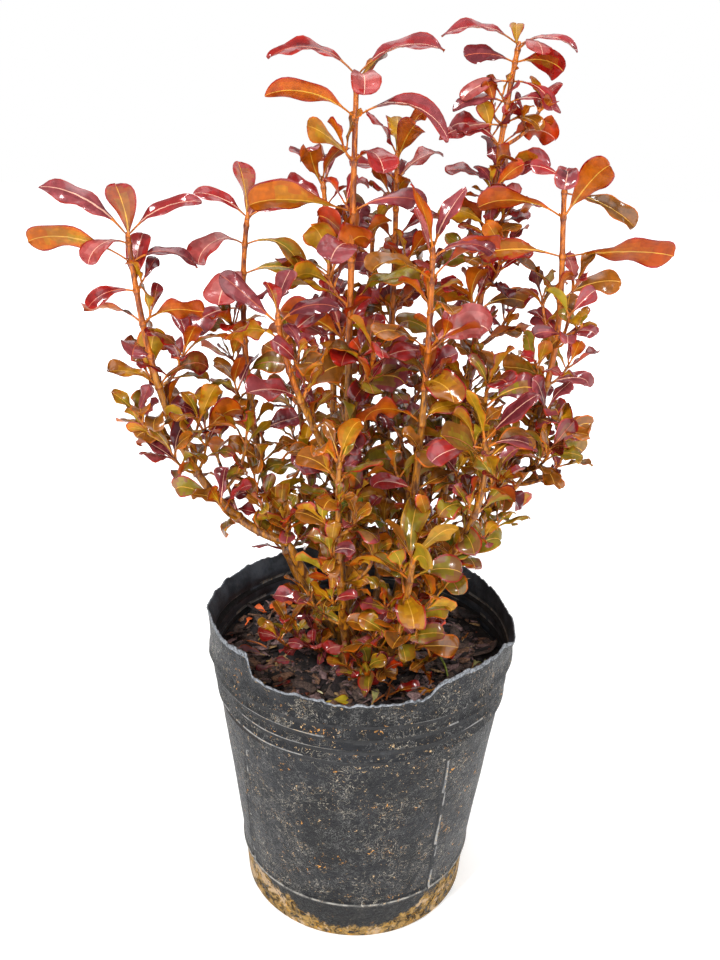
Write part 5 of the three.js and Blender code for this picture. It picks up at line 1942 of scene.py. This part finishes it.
def make_wood(shoots, masses, finishes):
    """Stems in one mesh, and twigs in another."""
    stems = Shape()
    fork_radii = (FOOT_RADIUS + FORK_LIMB_WOOD["thicker"], FORK_LIMB_WOOD["tip"])
    fork = limb_curve(*FORK_LIMB)
    add_limb(stems, fork, [], fork_radii, LIMB_ROUND, LIMB_ROW, WOOD_SEED["fork"])
    for i, (name, shoot) in enumerate(shoots.items()):
        thin = shoot.get("thin") or name == "fork_sprig"
        radii = (TUFT["radius"], TUFT["tip_radius"]) if thin else (FOOT_RADIUS, TIP_RADIUS)
        seed = WOOD_SEED["stem"] + i
        add_limb(stems, shoot["curve"], shoot["nodes"], radii, LIMB_ROUND, LIMB_ROW, seed)
    names = ["stem_" + name for name in STEMS]
    dress(stems.build("stem_wood", finishes), [*names, "stem_far_left_low"])
    twigs = Shape()
    for i, twig in enumerate(t for name in shoots for t in masses[name]["twigs"]):
        radii = (twig["radius"], TWIG_TAPER * twig["radius"])
        seed = WOOD_SEED["twig"] + i
        add_limb(twigs, twig["curve"], twig["nodes"], radii, TWIG_ROUND, TWIG_ROW, seed, 0.5)
    dress(twigs.build("twig_wood", finishes), [])


def make_crown(finishes):
    """The knobbly crown that the stems rise from."""
    angles = ring_angles(CROWN_GRID["sides"])
    rise = np.linspace(0, CROWN_GRID["top"], CROWN_GRID["rows"])[:, None] * math.pi / 2
    foot = MIX_TOP - CROWN_GRID["sunk"]
    radius = CROWN["radius"] * np.cos(rise) ** CROWN_GRID["blunt"] + 0 * angles
    height = foot + (CROWN["height"] + CROWN_GRID["sunk"]) * np.sin(rise) + 0 * angles
    spots = np.stack([radius * np.cos(angles), radius * np.sin(angles), height], -1)
    knobs = sum(depth * lumps(spots, size, seed) for depth, size, seed in KNOBS)
    outward = unit(spots - (0, 0, MIX_TOP - CROWN_GRID["centre"]))
    spots = spots + outward * (knobs - CROWN_GRID["inset"])[..., None]
    middles = np.array([(0, 0, foot), spots[-1].mean(0)])
    shift = (CROWN["x"], CROWN["y"], 0)
    shape = Shape()
    shape.add_closed(spots + shift, middles + shift)
    dress(shape.build("crown_wood", finishes), ["crown"])


# Stage

# The floor's half width and level in metres, its tone, the painted glow that grows from one
# distance in metres to another and its strength there, and how rough it is.
FLOOR_PLANE = {"half": 3, "level": -0.0005}
FLOOR_GLOW = {"tone": (0.92, 0.92, 0.92), "reach": (0.1, 1.1), "strength": (0.25, 0.8)}
FLOOR_ROUGHNESS = 0.9
# Soft square lights: place and width in metres, and power. All look at one point.
LIGHTS = {
    "key": ((-0.9, -1.2, 1.6), 0.3, 30),
    "glint": ((1.0, -0.7, 1.5), 0.2, 9),
    "sky": ((0.0, 0.8, 1.9), 1.3, 12),
    "front": ((0.3, -2.0, 0.6), 2.2, 38),
}
LIT_POINT = (0, 0, 0.25)
# The room's brightness all round, behind the plant and overhead, and the directions between
# which each sets in.
ROOM = {
    "dim": 0.25,
    "bright": 1.0,
    "overhead": 0.5,
    "behind": (0.84, 0.93),
    "low": (0.08, 0.22),
    "above": (0.2, 0.9),
}


def make_stage():
    """A plain pale floor with a painted glow that grows away from the pot."""
    half, level = FLOOR_PLANE["half"], FLOOR_PLANE["level"]
    corners = [(x * half, y * half, level) for x, y in ((-1, -1), (1, -1), (1, 1), (-1, 1))]
    mesh = bpy.data.meshes.new("floor")
    mesh.from_pydata(corners, [], [(0, 1, 2, 3)])
    finish = Finish("floor", FLOOR_ROUGHNESS)
    finish.set("Base Color", (*FLOOR_GLOW["tone"], 1))
    far = finish.node("VectorMath", {0: finish.place}, "Value", operation="LENGTH")
    glow = finish.between(far, *FLOOR_GLOW["reach"], *FLOOR_GLOW["strength"])
    finish.set("Emission Color", (1, 1, 1, 1))
    finish.set("Emission Strength", glow)
    mesh.materials.append(finish.material)
    linked("floor", mesh)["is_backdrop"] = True


def make_lights():
    """Soft studio light from above, the left and the front."""
    for name, (at, size, power) in LIGHTS.items():
        light = bpy.data.lights.new(name, "AREA")
        light.size = size
        light.energy = power
        lamp = linked(name, light)
        lamp.location = at
        lamp.rotation_euler = looking(np.array(LIT_POINT) - np.array(at)).to_euler()
    make_room()
    bpy.context.scene.view_settings.view_transform = "Standard"


def looking(forward):
    """A rotation whose -Z looks forward with Z up."""
    back = -unit(forward)
    right = unit(np.cross((0, 0, 1), back))
    return Matrix(np.stack([right, np.cross(back, right), back], -1).tolist())


def make_room():
    """A pale room, brightest behind the plant."""
    world = bpy.data.worlds.new("room")
    world.use_nodes = True
    nodes = Nodes(world.node_tree, "Generated")
    behind = nodes.between(nodes.axis("Y"), *ROOM["behind"], 0, ROOM["bright"])
    low = nodes.between(nodes.axis("Z"), *ROOM["low"], 1, 0)
    above = nodes.between(nodes.axis("Z"), *ROOM["above"], ROOM["dim"], ROOM["overhead"])
    back = world.node_tree.nodes["Background"]
    back.inputs["Color"].default_value = (1, 1, 1, 1)
    nodes.feed(back.inputs["Strength"], nodes.math("MAXIMUM", above, nodes.times(behind, low)))
    bpy.context.scene.world = world


def make_camera():
    """A camera where the photograph was taken from."""
    pitch, roll = math.radians(CAMERA_PITCH), math.radians(CAMERA_ROLL)
    level = np.array([1.0, 0, 0])
    rising = np.array([0, math.sin(pitch), math.cos(pitch)])
    forward = np.array([0, math.cos(pitch), -math.sin(pitch)])
    right = level * math.cos(roll) + rising * math.sin(roll)
    upward = rising * math.cos(roll) - level * math.sin(roll)
    camera = bpy.data.cameras.new("camera")
    camera.sensor_width = SENSOR
    camera.lens = FOCAL_PIXELS / IMAGE_LONG_SIDE * SENSOR
    camera.clip_start = 0.01
    view = linked("camera", camera)
    turn = Matrix(np.stack([right, upward, -forward], -1).tolist()).to_4x4()
    view.matrix_world = Matrix.Translation([c * MM for c in CAMERA_AT]) @ turn
    bpy.context.scene.camera = view


def main():
    """Builds every piece."""
    shoots = all_shoots()
    masses = {name: grow_mass(name, shoot) for name, shoot in shoots.items()}
    make_camera()
    make_lights()
    make_stage()
    make_pot()
    make_mix()
    wood = plain_finishes(WOOD_TONES, "wood")
    make_crown(wood)
    make_wood(shoots, masses, wood)
    tones = tone_lists()
    finishes = [leaf_finish(tone) for tone in tones[1]]
    make_leaves(masses, tones, finishes)
    make_litter(tones, finishes)
    sizes = {"cad": cad_bounds, "visual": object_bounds()}
    plain = {key: [list(corner) for corner in corners] for key, corners in sizes.items()}


main()
